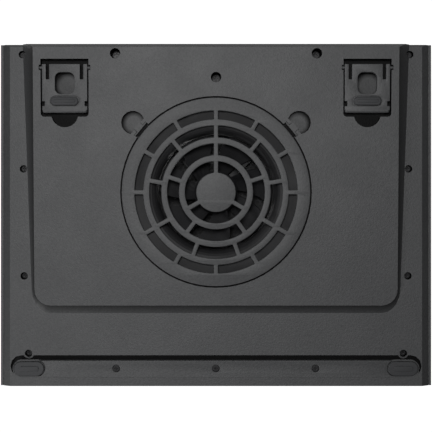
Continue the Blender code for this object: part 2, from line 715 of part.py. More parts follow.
# ------------------------------------------------------------------ front rail
def front_rail():
    """Rail along the front edge, screwed into its seat, with a rubber pad let into each end."""
    top = RAIL_SEAT_Z - GAP
    seat_z = RAIL_FACE_Z + PAD_SEAT
    outline = stadium(0.0, RAIL_Y, 2 * RAIL_HALF, RAIL_WIDTH)
    rail = part("front_rail", shape("front_rail", prism(outline, RAIL_FACE_Z, top)), CASE_PLASTIC)
    head_seat = RAIL_FACE_Z + RAIL_HEAD_DEEP
    cut(rail, "rail_heads", *[rod(x, RAIL_Y, -BEYOND, head_seat, RAIL_HEAD + GAP) for x in RAIL_SCREW_X])
    cut(rail, "rail_holes", *[rod(x, RAIL_Y, -BEYOND, top + BEYOND, PILOT_RADIUS) for x in RAIL_SCREW_X])
    sides = (("left", -1), ("right", 1))
    seats = [prism(stadium(side * rail_pad_x(), RAIL_Y, RAIL_PAD + 2 * GAP, RAIL_PAD_WIDTH + 2 * GAP),
                   -BEYOND, seat_z)
             for _, side in sides]
    cut(rail, "rail_pad_seats", *seats)
    for name, side in sides:
        pad = prism(stadium(side * rail_pad_x(), RAIL_Y, RAIL_PAD, RAIL_PAD_WIDTH), 0.0, seat_z - GAP)
        part(f"front_pad_{name}", shape(f"front_pad_{name}", pad), RUBBER)


def rail_pad_x():
    return RAIL_HALF - (RAIL_WIDTH - RAIL_PAD_WIDTH) / 2 - GAP - RAIL_PAD / 2


# ------------------------------------------------------------------ feet
def foot(name, side):
    """Flip-out foot: a plate on two pins that snap into slots in the pocket's sides."""
    x = side * FOOT_X
    axis = (x, HINGE_Y, HINGE_Z)
    half = POCKET_WIDTH / 2 - FOOT_SIDE_FIT
    low = PANEL_Z
    high = PANEL_Z + FOOT_THICK
    below = low - BEYOND
    above = high + BEYOND
    outline = block((x - half, FOOT_REAR_Y - FOOT_LENGTH, low), (x + half, FOOT_REAR_Y, high))
    plate = part(f"foot_{name}", shape(f"foot_{name}", outline), CASE_PLASTIC, axis)
    reach = POCKET_WIDTH / 2 + PIN_OUT
    add(plate, f"foot_pins_{name}", cross_bar(x - reach, x + reach, HINGE_Y, HINGE_Z, PIN_RADIUS))
    slits = [block((x + s * SLIT_OUT - SLIT[0] / 2, FOOT_REAR_Y - SLIT[1], below),
                   (x + s * SLIT_OUT + SLIT[0] / 2, FOOT_REAR_Y + BEYOND, above)) for s in (-1, 1)]
    cut(plate, f"foot_slits_{name}", *slits)
    pad_y = FOOT_REAR_Y - FOOT_PAD_BACK
    notches = [block((x + s * half - FOOT_NOTCH[0], pad_y - FOOT_NOTCH[1], below),
                     (x + s * half + FOOT_NOTCH[0], pad_y, above)) for s in (-1, 1)]
    cut(plate, f"foot_notches_{name}", *notches)
    window = rounded(x, FOOT_REAR_Y - WINDOW_BACK, WINDOW[0], WINDOW[1], WINDOW_CORNER)
    cut(plate, f"foot_window_{name}", prism(window, below, above))
    seat = stadium(x, pad_y, FOOT_PAD[0] + 2 * GAP, FOOT_PAD[1] + 2 * GAP)
    cut(plate, f"foot_pad_seat_{name}", prism(seat, below, low + PAD_SEAT))
    pad = prism(stadium(x, pad_y, FOOT_PAD[0], FOOT_PAD[1]), 0.0, low + PAD_SEAT - GAP)
    part(f"foot_pad_{name}", shape(f"foot_pad_{name}", pad), RUBBER, axis)


def cross_bar(start_x, end_x, y, z, radius):
    """Round bar along X."""
    def build(bm):
        place = Matrix.Translation(((start_x + end_x) / 2, y, z)) @ Matrix.Rotation(math.pi / 2, 4, "Y")
        bmesh.ops.create_cone(bm, cap_ends=True, segments=12, radius1=radius, radius2=radius,
                              depth=end_x - start_x, matrix=place)
    return build


# ------------------------------------------------------------------ fan cover and latches
def slot_outlines():
    """Curved slots of the grille, ring by ring, with their spokes between them."""
    outlines = []
    for inner_share, outer_share, spokes in SLOT_RINGS:
        inner = COVER_RADIUS * inner_share
        outer = COVER_RADIUS * outer_share
        pitch = 2 * math.pi / spokes
        steps = max(2, round(30 / spokes))
        for i in range(spokes):
            start = math.pi / 2 + i * pitch
            inner_gap = math.asin(SPOKE / 2 / inner)
            outer_gap = math.asin(SPOKE / 2 / outer)
            outline = arc(0.0, 0.0, inner, start + inner_gap, start + pitch - inner_gap, steps)
            outline += arc(0.0, 0.0, outer, start + pitch - outer_gap, start + outer_gap, steps)
            outlines.append(outline)
    return outlines


def fan_cover():
    """Round clip-in grille, flush with the panel."""
    sides = 72
    rim = arc(0.0, 0.0, COVER_RADIUS, 0.0, 2 * math.pi * (sides - 1) / sides, sides - 1)
    place = (0.0, FAN_Y, PANEL_Z + COVER_THICK / 2)
    flat_piece("fan_cover", [rim] + slot_outlines(), COVER_THICK, CASE_PLASTIC, place)


def latch(name, angle):
    """Latch of the fan cover: a bar in the bay, a stem to the scoop and a root behind the rim."""
    outer = BAY_OUTER - GAP
    low = PANEL_Z + GAP
    origin = (*rim_box(0.0, outer, outer, angle)[0], low)
    web_low = LEDGE_Z
    web_high = LEDGE_TOP_Z - 2 * GAP
    bar = prism(rim_box(BAY[0] / 2 - GAP, outer - LATCH_BAR, outer, angle), low, web_low + GAP)
    body = part(f"cover_latch_{name}", shape(f"cover_latch_{name}", bar), CASE_PLASTIC, origin)
    web = rim_box(WEB_WIDTH / 2, outer - WEB_LENGTH, outer - GAP, angle)
    add(body, f"latch_web_{name}", prism(web, web_low, web_high))
    stem = rim_box(LATCH_STEM / 2, outer - LATCH_BAR / 2, BAY_OUTER + RIB + LATCH_PAST_RIB, angle)
    add(body, f"latch_stem_{name}", prism(stem, low + GAP / 3, low + LATCH_THICK))


# ------------------------------------------------------------------ fan
def fan_frame():
    """Fan frame: flange and bellmouth below, duct, and the motor's carrier on four struts."""
    flange_top = FLANGE_Z + FLANGE_THICK
    neck = FLANGE_Z + BELL_HEIGHT
    duct_outer = DUCT_RADIUS + DUCT_WALL
    flare = BELL_RADIUS - DUCT_RADIUS
    quarter = [i * math.pi / 10 for i in range(6)]
    bell = [(DUCT_RADIUS + flare * (1 - math.sin(a)), FLANGE_Z + BELL_HEIGHT * (1 - math.cos(a)))
            for a in quarter]
    outside = [(duct_outer, FRAME_TOP_Z), (duct_outer, neck), (BELL_RADIUS + DUCT_WALL, flange_top),
               (FLANGE_RADIUS, flange_top), (FLANGE_RADIUS, FLANGE_Z)]
    profile = outside + bell + [(DUCT_RADIUS, FRAME_TOP_Z)]
    frame = turned("fan_frame", profile, FAN_PLASTIC, (0.0, FAN_Y, 0.0), 48, closed=True)
    spots = [fan_screw_place(angle) for angle in FAN_SCREW_ANGLES]
    for i, angle in enumerate(FAN_SCREW_ANGLES, start=1):
        round_end = arc(0.0, FAN_SCREW_OUT, EAR_RADIUS, 0.0, math.pi, 6)
        root = FLANGE_RADIUS - EAR_RADIUS
        ear = [(EAR_RADIUS, root)] + round_end + [(-EAR_RADIUS, root)]
        outline = fan_centred(at_rim(ear, angle))
        add(frame, f"fan_ear_{i}", prism(outline, FLANGE_Z + STEP, flange_top - STEP))
    holes = [rod(x, y, FLANGE_Z - BEYOND, flange_top + BEYOND, PILOT_RADIUS) for x, y in spots]
    cut(frame, "fan_ear_holes", *holes)
    add(frame, "motor_carrier", rod(0.0, FAN_Y, CARRIER_Z, FRAME_TOP_Z, ROTOR_RADIUS, 24))
    for i in range(4):
        angle = math.pi / 4 + i * math.pi / 2
        outline = rim_box(STRUT_WIDTH / 2, ROTOR_RADIUS - DUCT_WALL, DUCT_RADIUS + DUCT_WALL / 2, angle)
        add(frame, f"fan_strut_{i + 1}", prism(outline, CARRIER_Z + STEP, FRAME_TOP_Z - STEP))
    add(frame, "bearing_tube", rod(0.0, FAN_Y, TUBE_Z, CARRIER_Z + STEP, TUBE_RADIUS, 20))
    cut(frame, "bearing_bore", rod(0.0, FAN_Y, TUBE_Z - STEP, CARRIER_Z, BEARING_RADIUS + GAP, 20))


def motor():
    """Bearing, shaft, stator, magnet ring and driver board, about the fan's axis."""
    centre = (0.0, FAN_Y, 0.0)
    bore = SHAFT_RADIUS + GAP
    bearing_low = TUBE_Z + GAP
    bearing_high = CARRIER_Z - GAP
    sleeve = [(BEARING_RADIUS, bearing_high), (BEARING_RADIUS, bearing_low),
              (bore, bearing_low), (bore, bearing_high)]
    turned("fan_bearing", sleeve, BRASS, centre, 20, closed=True)
    shaft_low = ROTOR_Z + SOCKET_FLOOR + GAP
    shaft_high = bearing_high - GAP
    pin = [(0.0, shaft_high), (SHAFT_RADIUS, shaft_high), (SHAFT_RADIUS, shaft_low), (0.0, shaft_low)]
    turned("fan_shaft", pin, STEEL, centre, 12)
    magnet_out = ROTOR_RADIUS - ROTOR_WALL - GAP
    magnet_in = magnet_out - MAGNET_WALL
    low = ROTOR_Z + ROTOR_FLOOR + 2 * GAP
    high = ROTOR_Z + ROTOR_HEIGHT - 3 * GAP
    ring = [(magnet_out, high), (magnet_out, low), (magnet_in, low), (magnet_in, high)]
    turned("rotor_magnet", ring, MAGNET, centre, 24, closed=True)
    hole_sides = 20
    last = 2 * math.pi * (hole_sides - 1) / hole_sides
    hole = arc(0.0, 0.0, TUBE_RADIUS + GAP, 0.0, last, hole_sides - 1)
    core = pole_outline(STATOR_POLES, STATOR_CORE, magnet_in - AIR_GAP, STATOR_NECK / 2)
    place = (0.0, FAN_Y, TUBE_Z + 2 * GAP + STATOR_HEIGHT / 2)
    flat_piece("fan_stator", [core, hole], STATOR_HEIGHT, STEEL, place)
    edge_sides = 24
    edge = arc(0.0, 0.0, FAN_BOARD_RADIUS, 0.0, 2 * math.pi * (edge_sides - 1) / edge_sides, edge_sides - 1)
    place = (0.0, FAN_Y, CARRIER_Z - GAP - FAN_BOARD_THICK / 2)
    flat_piece("fan_board", [edge, hole], FAN_BOARD_THICK, CIRCUIT, place)


def pole_outline(poles, core, reach, half_neck):
    """Outline of a stator core with wide-headed poles."""
    points = []
    head = reach - STATOR_HEAD
    at_core = math.asin(half_neck / core)
    at_head = math.asin(half_neck / head)
    for i in range(poles):
        middle = i * 2 * math.pi / poles
        rise = [(core, -at_core), (head, -at_head), (head, -STATOR_SPREAD)]
        fall = [(head, STATOR_SPREAD), (head, at_head), (core, at_core)]
        points += [(r * math.cos(middle + a), r * math.sin(middle + a)) for r, a in rise]
        points += arc(0.0, 0.0, reach, middle - STATOR_SPREAD, middle + STATOR_SPREAD, 4)
        points += [(r * math.cos(middle + a), r * math.sin(middle + a)) for r, a in fall]
    return points


def impeller():
    """Axial impeller: a hub cup with swept blades, open towards the motor."""
    high = ROTOR_Z + ROTOR_HEIGHT
    inner = ROTOR_RADIUS - ROTOR_WALL
    floor = ROTOR_Z + ROTOR_FLOOR
    socket = SHAFT_RADIUS + GAP
    socket_z = ROTOR_Z + SOCKET_FLOOR
    inside = [(0.0, socket_z), (socket, socket_z), (socket, floor), (inner, floor), (inner, high)]
    outside = [(ROTOR_RADIUS, high), (ROTOR_RADIUS, ROTOR_Z + ROTOR_ROUND),
               (ROTOR_RADIUS - ROTOR_ROUND, ROTOR_Z), (0.0, ROTOR_Z)]
    wheel = turned("impeller", inside + outside, FAN_PLASTIC, (0.0, FAN_Y, 0.0), 28)
    blades = tool("blades", *[blade(i) for i in range(BLADES)])
    thick = blades.modifiers.new("thickness", "SOLIDIFY")
    thick.thickness = BLADE_THICK
    thick.offset = 0.0
    combine(wheel, "UNION", blades)


def blade(index):
    """One blade: a sheet that climbs as it sweeps round the hub."""
    def build(bm):
        start = index * 2 * math.pi / BLADES
        root = ROTOR_RADIUS - ROTOR_WALL / 2
        tip = DUCT_RADIUS - TIP_FIT
        climb = ROTOR_HEIGHT - 2 * ROTOR_ROUND
        for vert in bmesh.ops.create_grid(bm, x_segments=4, y_segments=3, size=0.5)["verts"]:
            along = vert.co.x + 0.5
            across = vert.co.y + 0.5
            radius = root + (tip - root) * across
            angle = start + BLADE_SWEEP * (along - 0.5) + BLADE_LEAN * across
            height = ROTOR_Z + ROTOR_ROUND + climb * (along + BLADE_CAMBER * math.sin(math.pi * along))
            vert.co = (radius * math.cos(angle), FAN_Y + radius * math.sin(angle), height)
    return build


# ------------------------------------------------------------------ fasteners
def screw_profile(name, head, height, length):
    """Half outline of a screw that points up, its head's underside at z = 0."""
    points = [(0.0, length), (SHANK_RADIUS, length), (SHANK_RADIUS, 0.0),
              (head, 0.0), (head, -height), (0.0, -height)]
    mesh = bpy.data.meshes.new(name)
    edges = [(i, i + 1) for i in range(len(points) - 1)]
    mesh.from_pydata([(radius, 0.0, z) for radius, z in points], edges, [])
    return mesh


def fasteners():
    """Case screws in their wells, rail screws, and fan screws that point down into their bosses."""
    small = screw_profile("small screw", SMALL_HEAD, HEAD_HEIGHT, SHANK_LENGTH)
    large = screw_profile("large screw", LARGE_HEAD, HEAD_HEIGHT, SHANK_LENGTH)
    flush = screw_profile("rail screw", RAIL_HEAD, RAIL_HEAD_HEIGHT, SHANK_LENGTH)
    short = screw_profile("fan screw", SMALL_HEAD, HEAD_HEIGHT, FLANGE_THICK + GAP + LEDGE_THICK)
    for name, x, y, start, _, head, depth in case_screws():
        mesh = small if head == SMALL_HEAD else large
        turned_copy(name, mesh, BLACK_ZINC, (x, y, start + depth - GAP), 12)
    for i, x in enumerate(RAIL_SCREW_X, start=1):
        turned_copy(f"rail_screw_{i}", flush, BLACK_ZINC, (x, RAIL_Y, RAIL_FACE_Z + RAIL_HEAD_DEEP - GAP), 12)
    seat = FLANGE_Z + FLANGE_THICK + GAP
    for i, angle in enumerate(FAN_SCREW_ANGLES, start=1):
        turned_copy(f"fan_screw_{i}", short, BLACK_ZINC, (*fan_screw_place(angle), seat), 12, math.pi)


# ------------------------------------------------------------------ power inlet
def electrics():
    """Inlet board with its socket and switch, and the lead to the fan."""
    back = REAR_Y - WALL - GAP
    board = block((BOARD_X[0], BOARD_FRONT_Y, BOARD_Z), (BOARD_X[1], back, BOARD_TOP_Z))
    part("usb_board", shape("usb_board", board), CIRCUIT)
    usb_socket()
    centre_x = SWITCH_X + SLIDER_TRAVEL / 2
    low = (centre_x - SWITCH[0] / 2, back - SWITCH[1], SOCKET_Z)
    high = (centre_x + SWITCH[0] / 2, back, SOCKET_Z + SWITCH[2])
    part("switch_body", shape("switch_body", block(low, high)), BLACK_PLASTIC)
    knob_y = back + GAP
    low = (SWITCH_X - SLIDER[0] / 2, knob_y, SLIDER_Z - SLIDER[2] / 2)
    high = (SWITCH_X + SLIDER[0] / 2, knob_y + SLIDER[1], SLIDER_Z + SLIDER[2] / 2)
    knob = shape("switch_slider", block(low, high))
    part("switch_slider", knob, BLACK_PLASTIC, (SWITCH_X, knob_y, SLIDER_Z))
    fan_lead()


def usb_socket():
    """Small power inlet: a steel shell with a tongue inside, open to the rear."""
    half = SOCKET[0] / 2
    mouth_y = REAR_Y - SOCKET_BACK
    low = (SOCKET_X - half, mouth_y - SOCKET[1], SOCKET_Z)
    high = (SOCKET_X + half, mouth_y, SOCKET_Z + SOCKET[2])
    socket = part("usb_socket", shape("usb_socket", block(low, high)), STEEL)
    inner_low = (low[0] + SOCKET_SHELL, mouth_y - SOCKET_MOUTH, low[2] + SOCKET_SHELL)
    inner_high = (high[0] - SOCKET_SHELL, mouth_y + BEYOND, high[2] - SOCKET_SHELL)
    cut(socket, "socket_mouth", block(inner_low, inner_high))
    middle_z = SOCKET_Z + SOCKET[2] / 2
    tongue_low = (SOCKET_X - TONGUE[0] / 2, mouth_y - SOCKET_MOUTH - SOCKET_SHELL, middle_z - TONGUE[1] / 2)
    tongue_high = (SOCKET_X + TONGUE[0] / 2, mouth_y - TONGUE_BACK, middle_z + TONGUE[1] / 2)
    add(socket, "socket_tongue", block(tongue_low, tongue_high))


def fan_lead():
    """Lead that runs inside the case from the duct's side down to the board."""
    start = Vector((LEAD_X, FAN_Y + LEAD_AHEAD, FRAME_TOP_Z - CARRIER_THICK))
    end = Vector((BOARD_X[1] - BOARD_LENGTH, BOARD_FRONT_Y - 2 * LEAD_RADIUS, BOARD_TOP_Z + LEAD_RADIUS))
    curve = bpy.data.curves.new("fan_lead", "CURVE")
    curve.dimensions = "3D"
    curve.bevel_depth = LEAD_RADIUS
    curve.bevel_resolution = 2
    curve.use_fill_caps = True
    spline = curve.splines.new("POLY")
    spline.points.add(LEAD_STEPS)
    for i, point in enumerate(spline.points):
        along = i / LEAD_STEPS
        place = start.lerp(end, along)
        ease = along * along * (3 - 2 * along)
        height = start.z + (end.z - start.z) * ease
        point.co = (place.x + LEAD_BOW * math.sin(math.pi * along), place.y, height, 1.0)
    curve.materials.append(LEAD_SHEATH)
    PAD.objects.link(bpy.data.objects.new("fan_lead", curve))


clear_scene()
PAD = new_collection("laptop_cooling_pad")
TOOLS = new_collection("cutters")
CASE_PLASTIC = new_material("case_plastic", (0.055, 0.056, 0.058), 0.55)
FAN_PLASTIC = new_material("fan_plastic", (0.030, 0.030, 0.032), 0.45)
BLACK_PLASTIC = new_material("black_plastic", (0.020, 0.020, 0.021), 0.40)
RUBBER = new_material("rubber", (0.035, 0.037, 0.041), 0.80)
STEEL = new_material("steel", (0.350, 0.350, 0.360), 0.35, 1.0)
BLACK_ZINC = new_material("black_zinc", (0.040, 0.040, 0.042), 0.35, 0.8)
STEEL_MESH = new_material("steel_mesh", (0.045, 0.045, 0.047), 0.45, 0.6)
BRASS = new_material("brass", (0.550, 0.400, 0.180), 0.35, 1.0)
MAGNET = new_material("magnet", (0.080, 0.075, 0.072), 0.60)
CIRCUIT = new_material("circuit_board", (0.030, 0.110, 0.050), 0.50)
LEAD_SHEATH = new_material("lead_sheath", (0.020, 0.020, 0.020), 0.50)

bottom_cover()
top_cover()
grip_strips()
top_mesh()
front_rail()
foot("left", -1)
foot("right", 1)
fan_cover()
latch("left", LATCH_ANGLES["left"])
latch("right", LATCH_ANGLES["right"])
fan_frame()
motor()
impeller()
fasteners()
electrics()
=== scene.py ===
"""Laptop cooling pad seen from below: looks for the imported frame, piece by piece."""
import math

import bmesh
import bpy
from mathutils import Matrix, Vector


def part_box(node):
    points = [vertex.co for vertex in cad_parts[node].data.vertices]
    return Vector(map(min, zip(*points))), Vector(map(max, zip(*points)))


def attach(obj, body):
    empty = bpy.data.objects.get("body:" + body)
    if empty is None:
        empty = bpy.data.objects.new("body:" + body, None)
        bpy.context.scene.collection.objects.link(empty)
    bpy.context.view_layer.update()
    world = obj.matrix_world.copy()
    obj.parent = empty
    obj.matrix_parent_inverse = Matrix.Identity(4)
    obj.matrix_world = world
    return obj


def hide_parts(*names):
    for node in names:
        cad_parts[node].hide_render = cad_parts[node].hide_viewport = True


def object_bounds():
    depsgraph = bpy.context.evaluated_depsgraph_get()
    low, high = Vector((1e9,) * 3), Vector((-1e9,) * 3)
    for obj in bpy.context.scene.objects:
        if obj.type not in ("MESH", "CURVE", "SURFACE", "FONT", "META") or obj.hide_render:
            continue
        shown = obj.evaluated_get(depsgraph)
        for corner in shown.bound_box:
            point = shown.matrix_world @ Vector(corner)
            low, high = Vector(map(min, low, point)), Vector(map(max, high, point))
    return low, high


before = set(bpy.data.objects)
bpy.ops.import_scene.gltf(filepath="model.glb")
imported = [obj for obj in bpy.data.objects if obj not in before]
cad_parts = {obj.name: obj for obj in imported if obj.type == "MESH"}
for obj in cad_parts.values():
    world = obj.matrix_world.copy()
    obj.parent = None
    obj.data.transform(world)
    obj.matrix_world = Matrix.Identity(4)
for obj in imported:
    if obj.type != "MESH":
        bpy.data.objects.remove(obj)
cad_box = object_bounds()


# ------------------------------------------------------------------ camera, lights and floor
# The camera stands under the pad and looks up square to its sloping underside, with the rear
# edge of the pad at the top of the picture. The floor shows only from above.
CASE_SLOPE = 0.036
CASE_UNDER = 0.0079
CAMERA_DISTANCE = 0.78
FIELD = 0.3797

camera_data = bpy.data.cameras.new("camera")
camera_data.sensor_width = 36.0
camera_data.lens = 36.0 * CAMERA_DISTANCE / FIELD
camera_data.clip_start = 0.01
camera_data.clip_end = 20.0
camera = bpy.data.objects.new("camera", camera_data)
look = Vector((0.0, -CASE_SLOPE, 1.0)).normalized()
camera.location = Vector((0.0, -0.0006, CASE_UNDER)) - look * CAMERA_DISTANCE
camera.rotation_euler = (-math.atan(CASE_SLOPE), math.pi, 0.0)
bpy.context.scene.collection.objects.link(camera)
bpy.context.scene.camera = camera
bpy.context.scene.view_settings.view_transform = "Standard"


def area_light(name, place, aim, size, watts):
    data = bpy.data.lights.new(name, "AREA")
    data.shape = "DISK"
    data.size = size
    data.energy = watts
    lamp = bpy.data.objects.new(name, data)
    lamp.location = place
    away = Vector(place) - Vector(aim)
    lamp.rotation_euler = away.to_track_quat("Z", "Y").to_euler()
    lamp.visible_camera = False
    bpy.context.scene.collection.objects.link(lamp)
    return lamp


area_light("front_below", (0.10, 0.30, -1.10), (0.0, 0.0, 0.01), 0.40, 8.0)
area_light("key_below", (0.66, -0.55, -0.46), (0.0, 0.0, 0.01), 0.30, 3.8)
area_light("key_above", (-0.85, -0.75, 1.15), (0.0, 0.0, 0.02), 0.70, 24.0)
area_light("fill_above", (0.95, 0.35, 0.80), (0.0, 0.0, 0.02), 0.80, 10.0)

world = bpy.data.worlds.new("studio")
bpy.context.scene.world = world
world.use_nodes = True
air = world.node_tree
air.nodes.clear()
to_world = air.nodes.new("ShaderNodeOutputWorld")
soft = air.nodes.new("ShaderNodeBackground")
soft.inputs["Color"].default_value = (1.0, 1.0, 1.0, 1.0)
heading = air.nodes.new("ShaderNodeTexCoord")
parts = air.nodes.new("ShaderNodeSeparateXYZ")
sky = air.nodes.new("ShaderNodeMapRange")
sky.inputs["From Min"].default_value = -0.25
sky.inputs["From Max"].default_value = 0.35
sky.inputs["To Min"].default_value = 0.045
sky.inputs["To Max"].default_value = 0.55
air.links.new(heading.outputs["Generated"], parts.inputs[0])
air.links.new(parts.outputs["Z"], sky.inputs["Value"])
air.links.new(sky.outputs[0], soft.inputs["Strength"])
bright = air.nodes.new("ShaderNodeBackground")
bright.inputs["Color"].default_value = (1.0, 1.0, 1.0, 1.0)
bright.inputs["Strength"].default_value = 1.1
seen = air.nodes.new("ShaderNodeLightPath")
pick = air.nodes.new("ShaderNodeMixShader")
air.links.new(seen.outputs["Is Camera Ray"], pick.inputs[0])
air.links.new(soft.outputs[0], pick.inputs[1])
air.links.new(bright.outputs[0], pick.inputs[2])
air.links.new(pick.outputs[0], to_world.inputs["Surface"])

floor_mesh = bpy.data.meshes.new("floor")
floor_form = bmesh.new()
bmesh.ops.create_grid(floor_form, x_segments=2, y_segments=2, size=3.0)
floor_form.to_mesh(floor_mesh)
floor_form.free()
floor = bpy.data.objects.new("floor", floor_mesh)
floor.location = (0.0, 0.0, -0.0003)
bpy.context.scene.collection.objects.link(floor)
floor_material = bpy.data.materials.new("floor")
floor_material.use_nodes = True
ground = floor_material.node_tree
paint = ground.nodes["Principled BSDF"]
paint.inputs["Base Color"].default_value = (0.80, 0.80, 0.79, 1.0)
paint.inputs["Roughness"].default_value = 0.8
paint.inputs["Emission Color"].default_value = (1.0, 1.0, 1.0, 1.0)
paint.inputs["Emission Strength"].default_value = 0.22
clear = ground.nodes.new("ShaderNodeBsdfTransparent")
facing = ground.nodes.new("ShaderNodeNewGeometry")
one_way = ground.nodes.new("ShaderNodeMixShader")
ground.links.new(facing.outputs["Backfacing"], one_way.inputs[0])
ground.links.new(paint.outputs[0], one_way.inputs[1])
ground.links.new(clear.outputs[0], one_way.inputs[2])
ground.links.new(one_way.outputs[0], ground.nodes["Material Output"].inputs["Surface"])
floor_mesh.materials.append(floor_material)
floor.visible_diffuse = False
floor.visible_glossy = False
floor.visible_shadow = False


# ------------------------------------------------------------------ case covers
# Bottom cover and top cover: injection-moulded charcoal ABS with a fine spark-eroded grain,
# pressed together along a seam low on the side walls and held by eleven screws.
def grain_group():
    """Moulded grain: gives a height for bump, a tone for colour and a mask of rubbed places."""
    group = bpy.data.node_groups.new("moulded_grain", "ShaderNodeTree")
    face = group.interface
    face.new_socket("Grain Scale", in_out="INPUT", socket_type="NodeSocketFloat")
    face.new_socket("Height", in_out="OUTPUT", socket_type="NodeSocketFloat")
    face.new_socket("Tone", in_out="OUTPUT", socket_type="NodeSocketFloat")
    face.new_socket("Smudge", in_out="OUTPUT", socket_type="NodeSocketFloat")
    made = group.nodes
    start = made.new("NodeGroupInput")
    end = made.new("NodeGroupOutput")
    place = made.new("ShaderNodeTexCoord")
    fine = made.new("ShaderNodeTexNoise")
    fine.inputs["Detail"].default_value = 3.0
    fine.inputs["Roughness"].default_value = 0.65
    pits = made.new("ShaderNodeTexVoronoi")
    wide = made.new("ShaderNodeTexNoise")
    wide.inputs["Scale"].default_value = 22.0
    wide.inputs["Detail"].default_value = 4.0
    double = made.new("ShaderNodeMath")
    double.operation = "MULTIPLY"
    double.inputs[1].default_value = 1.7
    joined = made.new("ShaderNodeMath")
    joined.operation = "MULTIPLY_ADD"
    joined.inputs[1].default_value = 0.45
    tone = made.new("ShaderNodeMapRange")
    tone.inputs["From Min"].default_value = 0.30
    tone.inputs["From Max"].default_value = 0.70
    smudge = made.new("ShaderNodeMapRange")
    smudge.inputs["From Min"].default_value = 0.42
    smudge.inputs["From Max"].default_value = 0.66
    wires = group.links
    wires.new(place.outputs["Object"], fine.inputs["Vector"])
    wires.new(place.outputs["Object"], pits.inputs["Vector"])
    wires.new(place.outputs["Object"], wide.inputs["Vector"])
    wires.new(start.outputs["Grain Scale"], fine.inputs["Scale"])
    wires.new(start.outputs["Grain Scale"], double.inputs[0])
    wires.new(double.outputs[0], pits.inputs["Scale"])
    wires.new(pits.outputs["Distance"], joined.inputs[0])
    wires.new(fine.outputs[0], joined.inputs[2])
    wires.new(joined.outputs[0], end.inputs["Height"])
    wires.new(fine.outputs[0], tone.inputs["Value"])
    wires.new(tone.outputs[0], end.inputs["Tone"])
    wires.new(wide.outputs[0], smudge.inputs["Value"])
    wires.new(smudge.outputs[0], end.inputs["Smudge"])
    return group


GRAIN = grain_group()


def finish_material(name, dark, light, rough, bump, scale=900.0, metal=0.0, depth=0.0001, specular=0.5):
    """Principled material: colour between two tones, roughness between two values, grain bump."""
    material = bpy.data.materials.new(name)
    material.use_nodes = True
    tree = material.node_tree
    shader = tree.nodes["Principled BSDF"]
    shader.inputs["Metallic"].default_value = metal
    shader.inputs["Specular IOR Level"].default_value = specular
    grain = tree.nodes.new("ShaderNodeGroup")
    grain.node_tree = GRAIN
    grain.inputs["Grain Scale"].default_value = scale
    colour = tree.nodes.new("ShaderNodeMix")
    colour.data_type = "RGBA"
    colour.inputs[6].default_value = (*dark, 1.0)
    colour.inputs[7].default_value = (*light, 1.0)
    worn = tree.nodes.new("ShaderNodeMath")
    worn.operation = "MULTIPLY_ADD"
    worn.inputs[1].default_value = 0.14
    polish = tree.nodes.new("ShaderNodeMapRange")
    polish.inputs["To Min"].default_value = rough[0]
    polish.inputs["To Max"].default_value = rough[1]
    relief = tree.nodes.new("ShaderNodeBump")
    relief.inputs["Strength"].default_value = bump
    relief.inputs["Distance"].default_value = depth
    half = tree.nodes.new("ShaderNodeMath")
    half.operation = "MULTIPLY"
    half.inputs[1].default_value = 0.65
    wires = tree.links
    wires.new(grain.outputs["Tone"], half.inputs[0])
    wires.new(grain.outputs["Smudge"], worn.inputs[0])
    wires.new(half.outputs[0], worn.inputs[2])
    wires.new(worn.outputs[0], colour.inputs[0])
    wires.new(colour.outputs[2], shader.inputs["Base Color"])
    wires.new(grain.outputs["Smudge"], polish.inputs["Value"])
    wires.new(polish.outputs[0], shader.inputs["Roughness"])
    wires.new(grain.outputs["Height"], relief.inputs["Height"])
    wires.new(relief.outputs[0], shader.inputs["Normal"])
    return material


CASE = finish_material("case_plastic", (0.040, 0.041, 0.043), (0.070, 0.071, 0.073), (0.56, 0.53), 0.9, 620.0,
                       depth=0.0002)


def dusky_material(name, centre, near, far, least, shift=0.0):
    """Case plastic with the shade of a recess painted in, which the soft light alone doesn't give.
    Less of it round a centre that lies on both sides of the pad; the shift moves both to -X."""
    material = CASE.copy()
    material.name = name
    tree = material.node_tree
    shader = tree.nodes["Principled BSDF"]
    place = tree.nodes.new("ShaderNodeTexCoord")
    apart = tree.nodes.new("ShaderNodeSeparateXYZ")
    aside = tree.nodes.new("ShaderNodeMath")
    aside.inputs[1].default_value = shift
    across = tree.nodes.new("ShaderNodeMath")
    across.operation = "ABSOLUTE"
    joined = tree.nodes.new("ShaderNodeCombineXYZ")
    joined.inputs["Z"].default_value = 0.0
    reach = tree.nodes.new("ShaderNodeVectorMath")
    reach.operation = "DISTANCE"
    reach.inputs[1].default_value = (*centre, 0.0)
    shade = tree.nodes.new("ShaderNodeMapRange")
    shade.inputs["From Min"].default_value = near
    shade.inputs["From Max"].default_value = far
    shade.inputs["To Min"].default_value = least
    shade.inputs["To Max"].default_value = 0.96
    wires = tree.links
    wires.new(place.outputs["Object"], apart.inputs[0])
    wires.new(apart.outputs["X"], aside.inputs[0])
    wires.new(aside.outputs[0], across.inputs[0])
    wires.new(across.outputs[0], joined.inputs["X"])
    wires.new(apart.outputs["Y"], joined.inputs["Y"])
    wires.new(joined.outputs[0], reach.inputs[0])
    wires.new(reach.outputs["Value"], shade.inputs["Value"])
    darkened(tree, shader, shade.outputs[0])
    return material


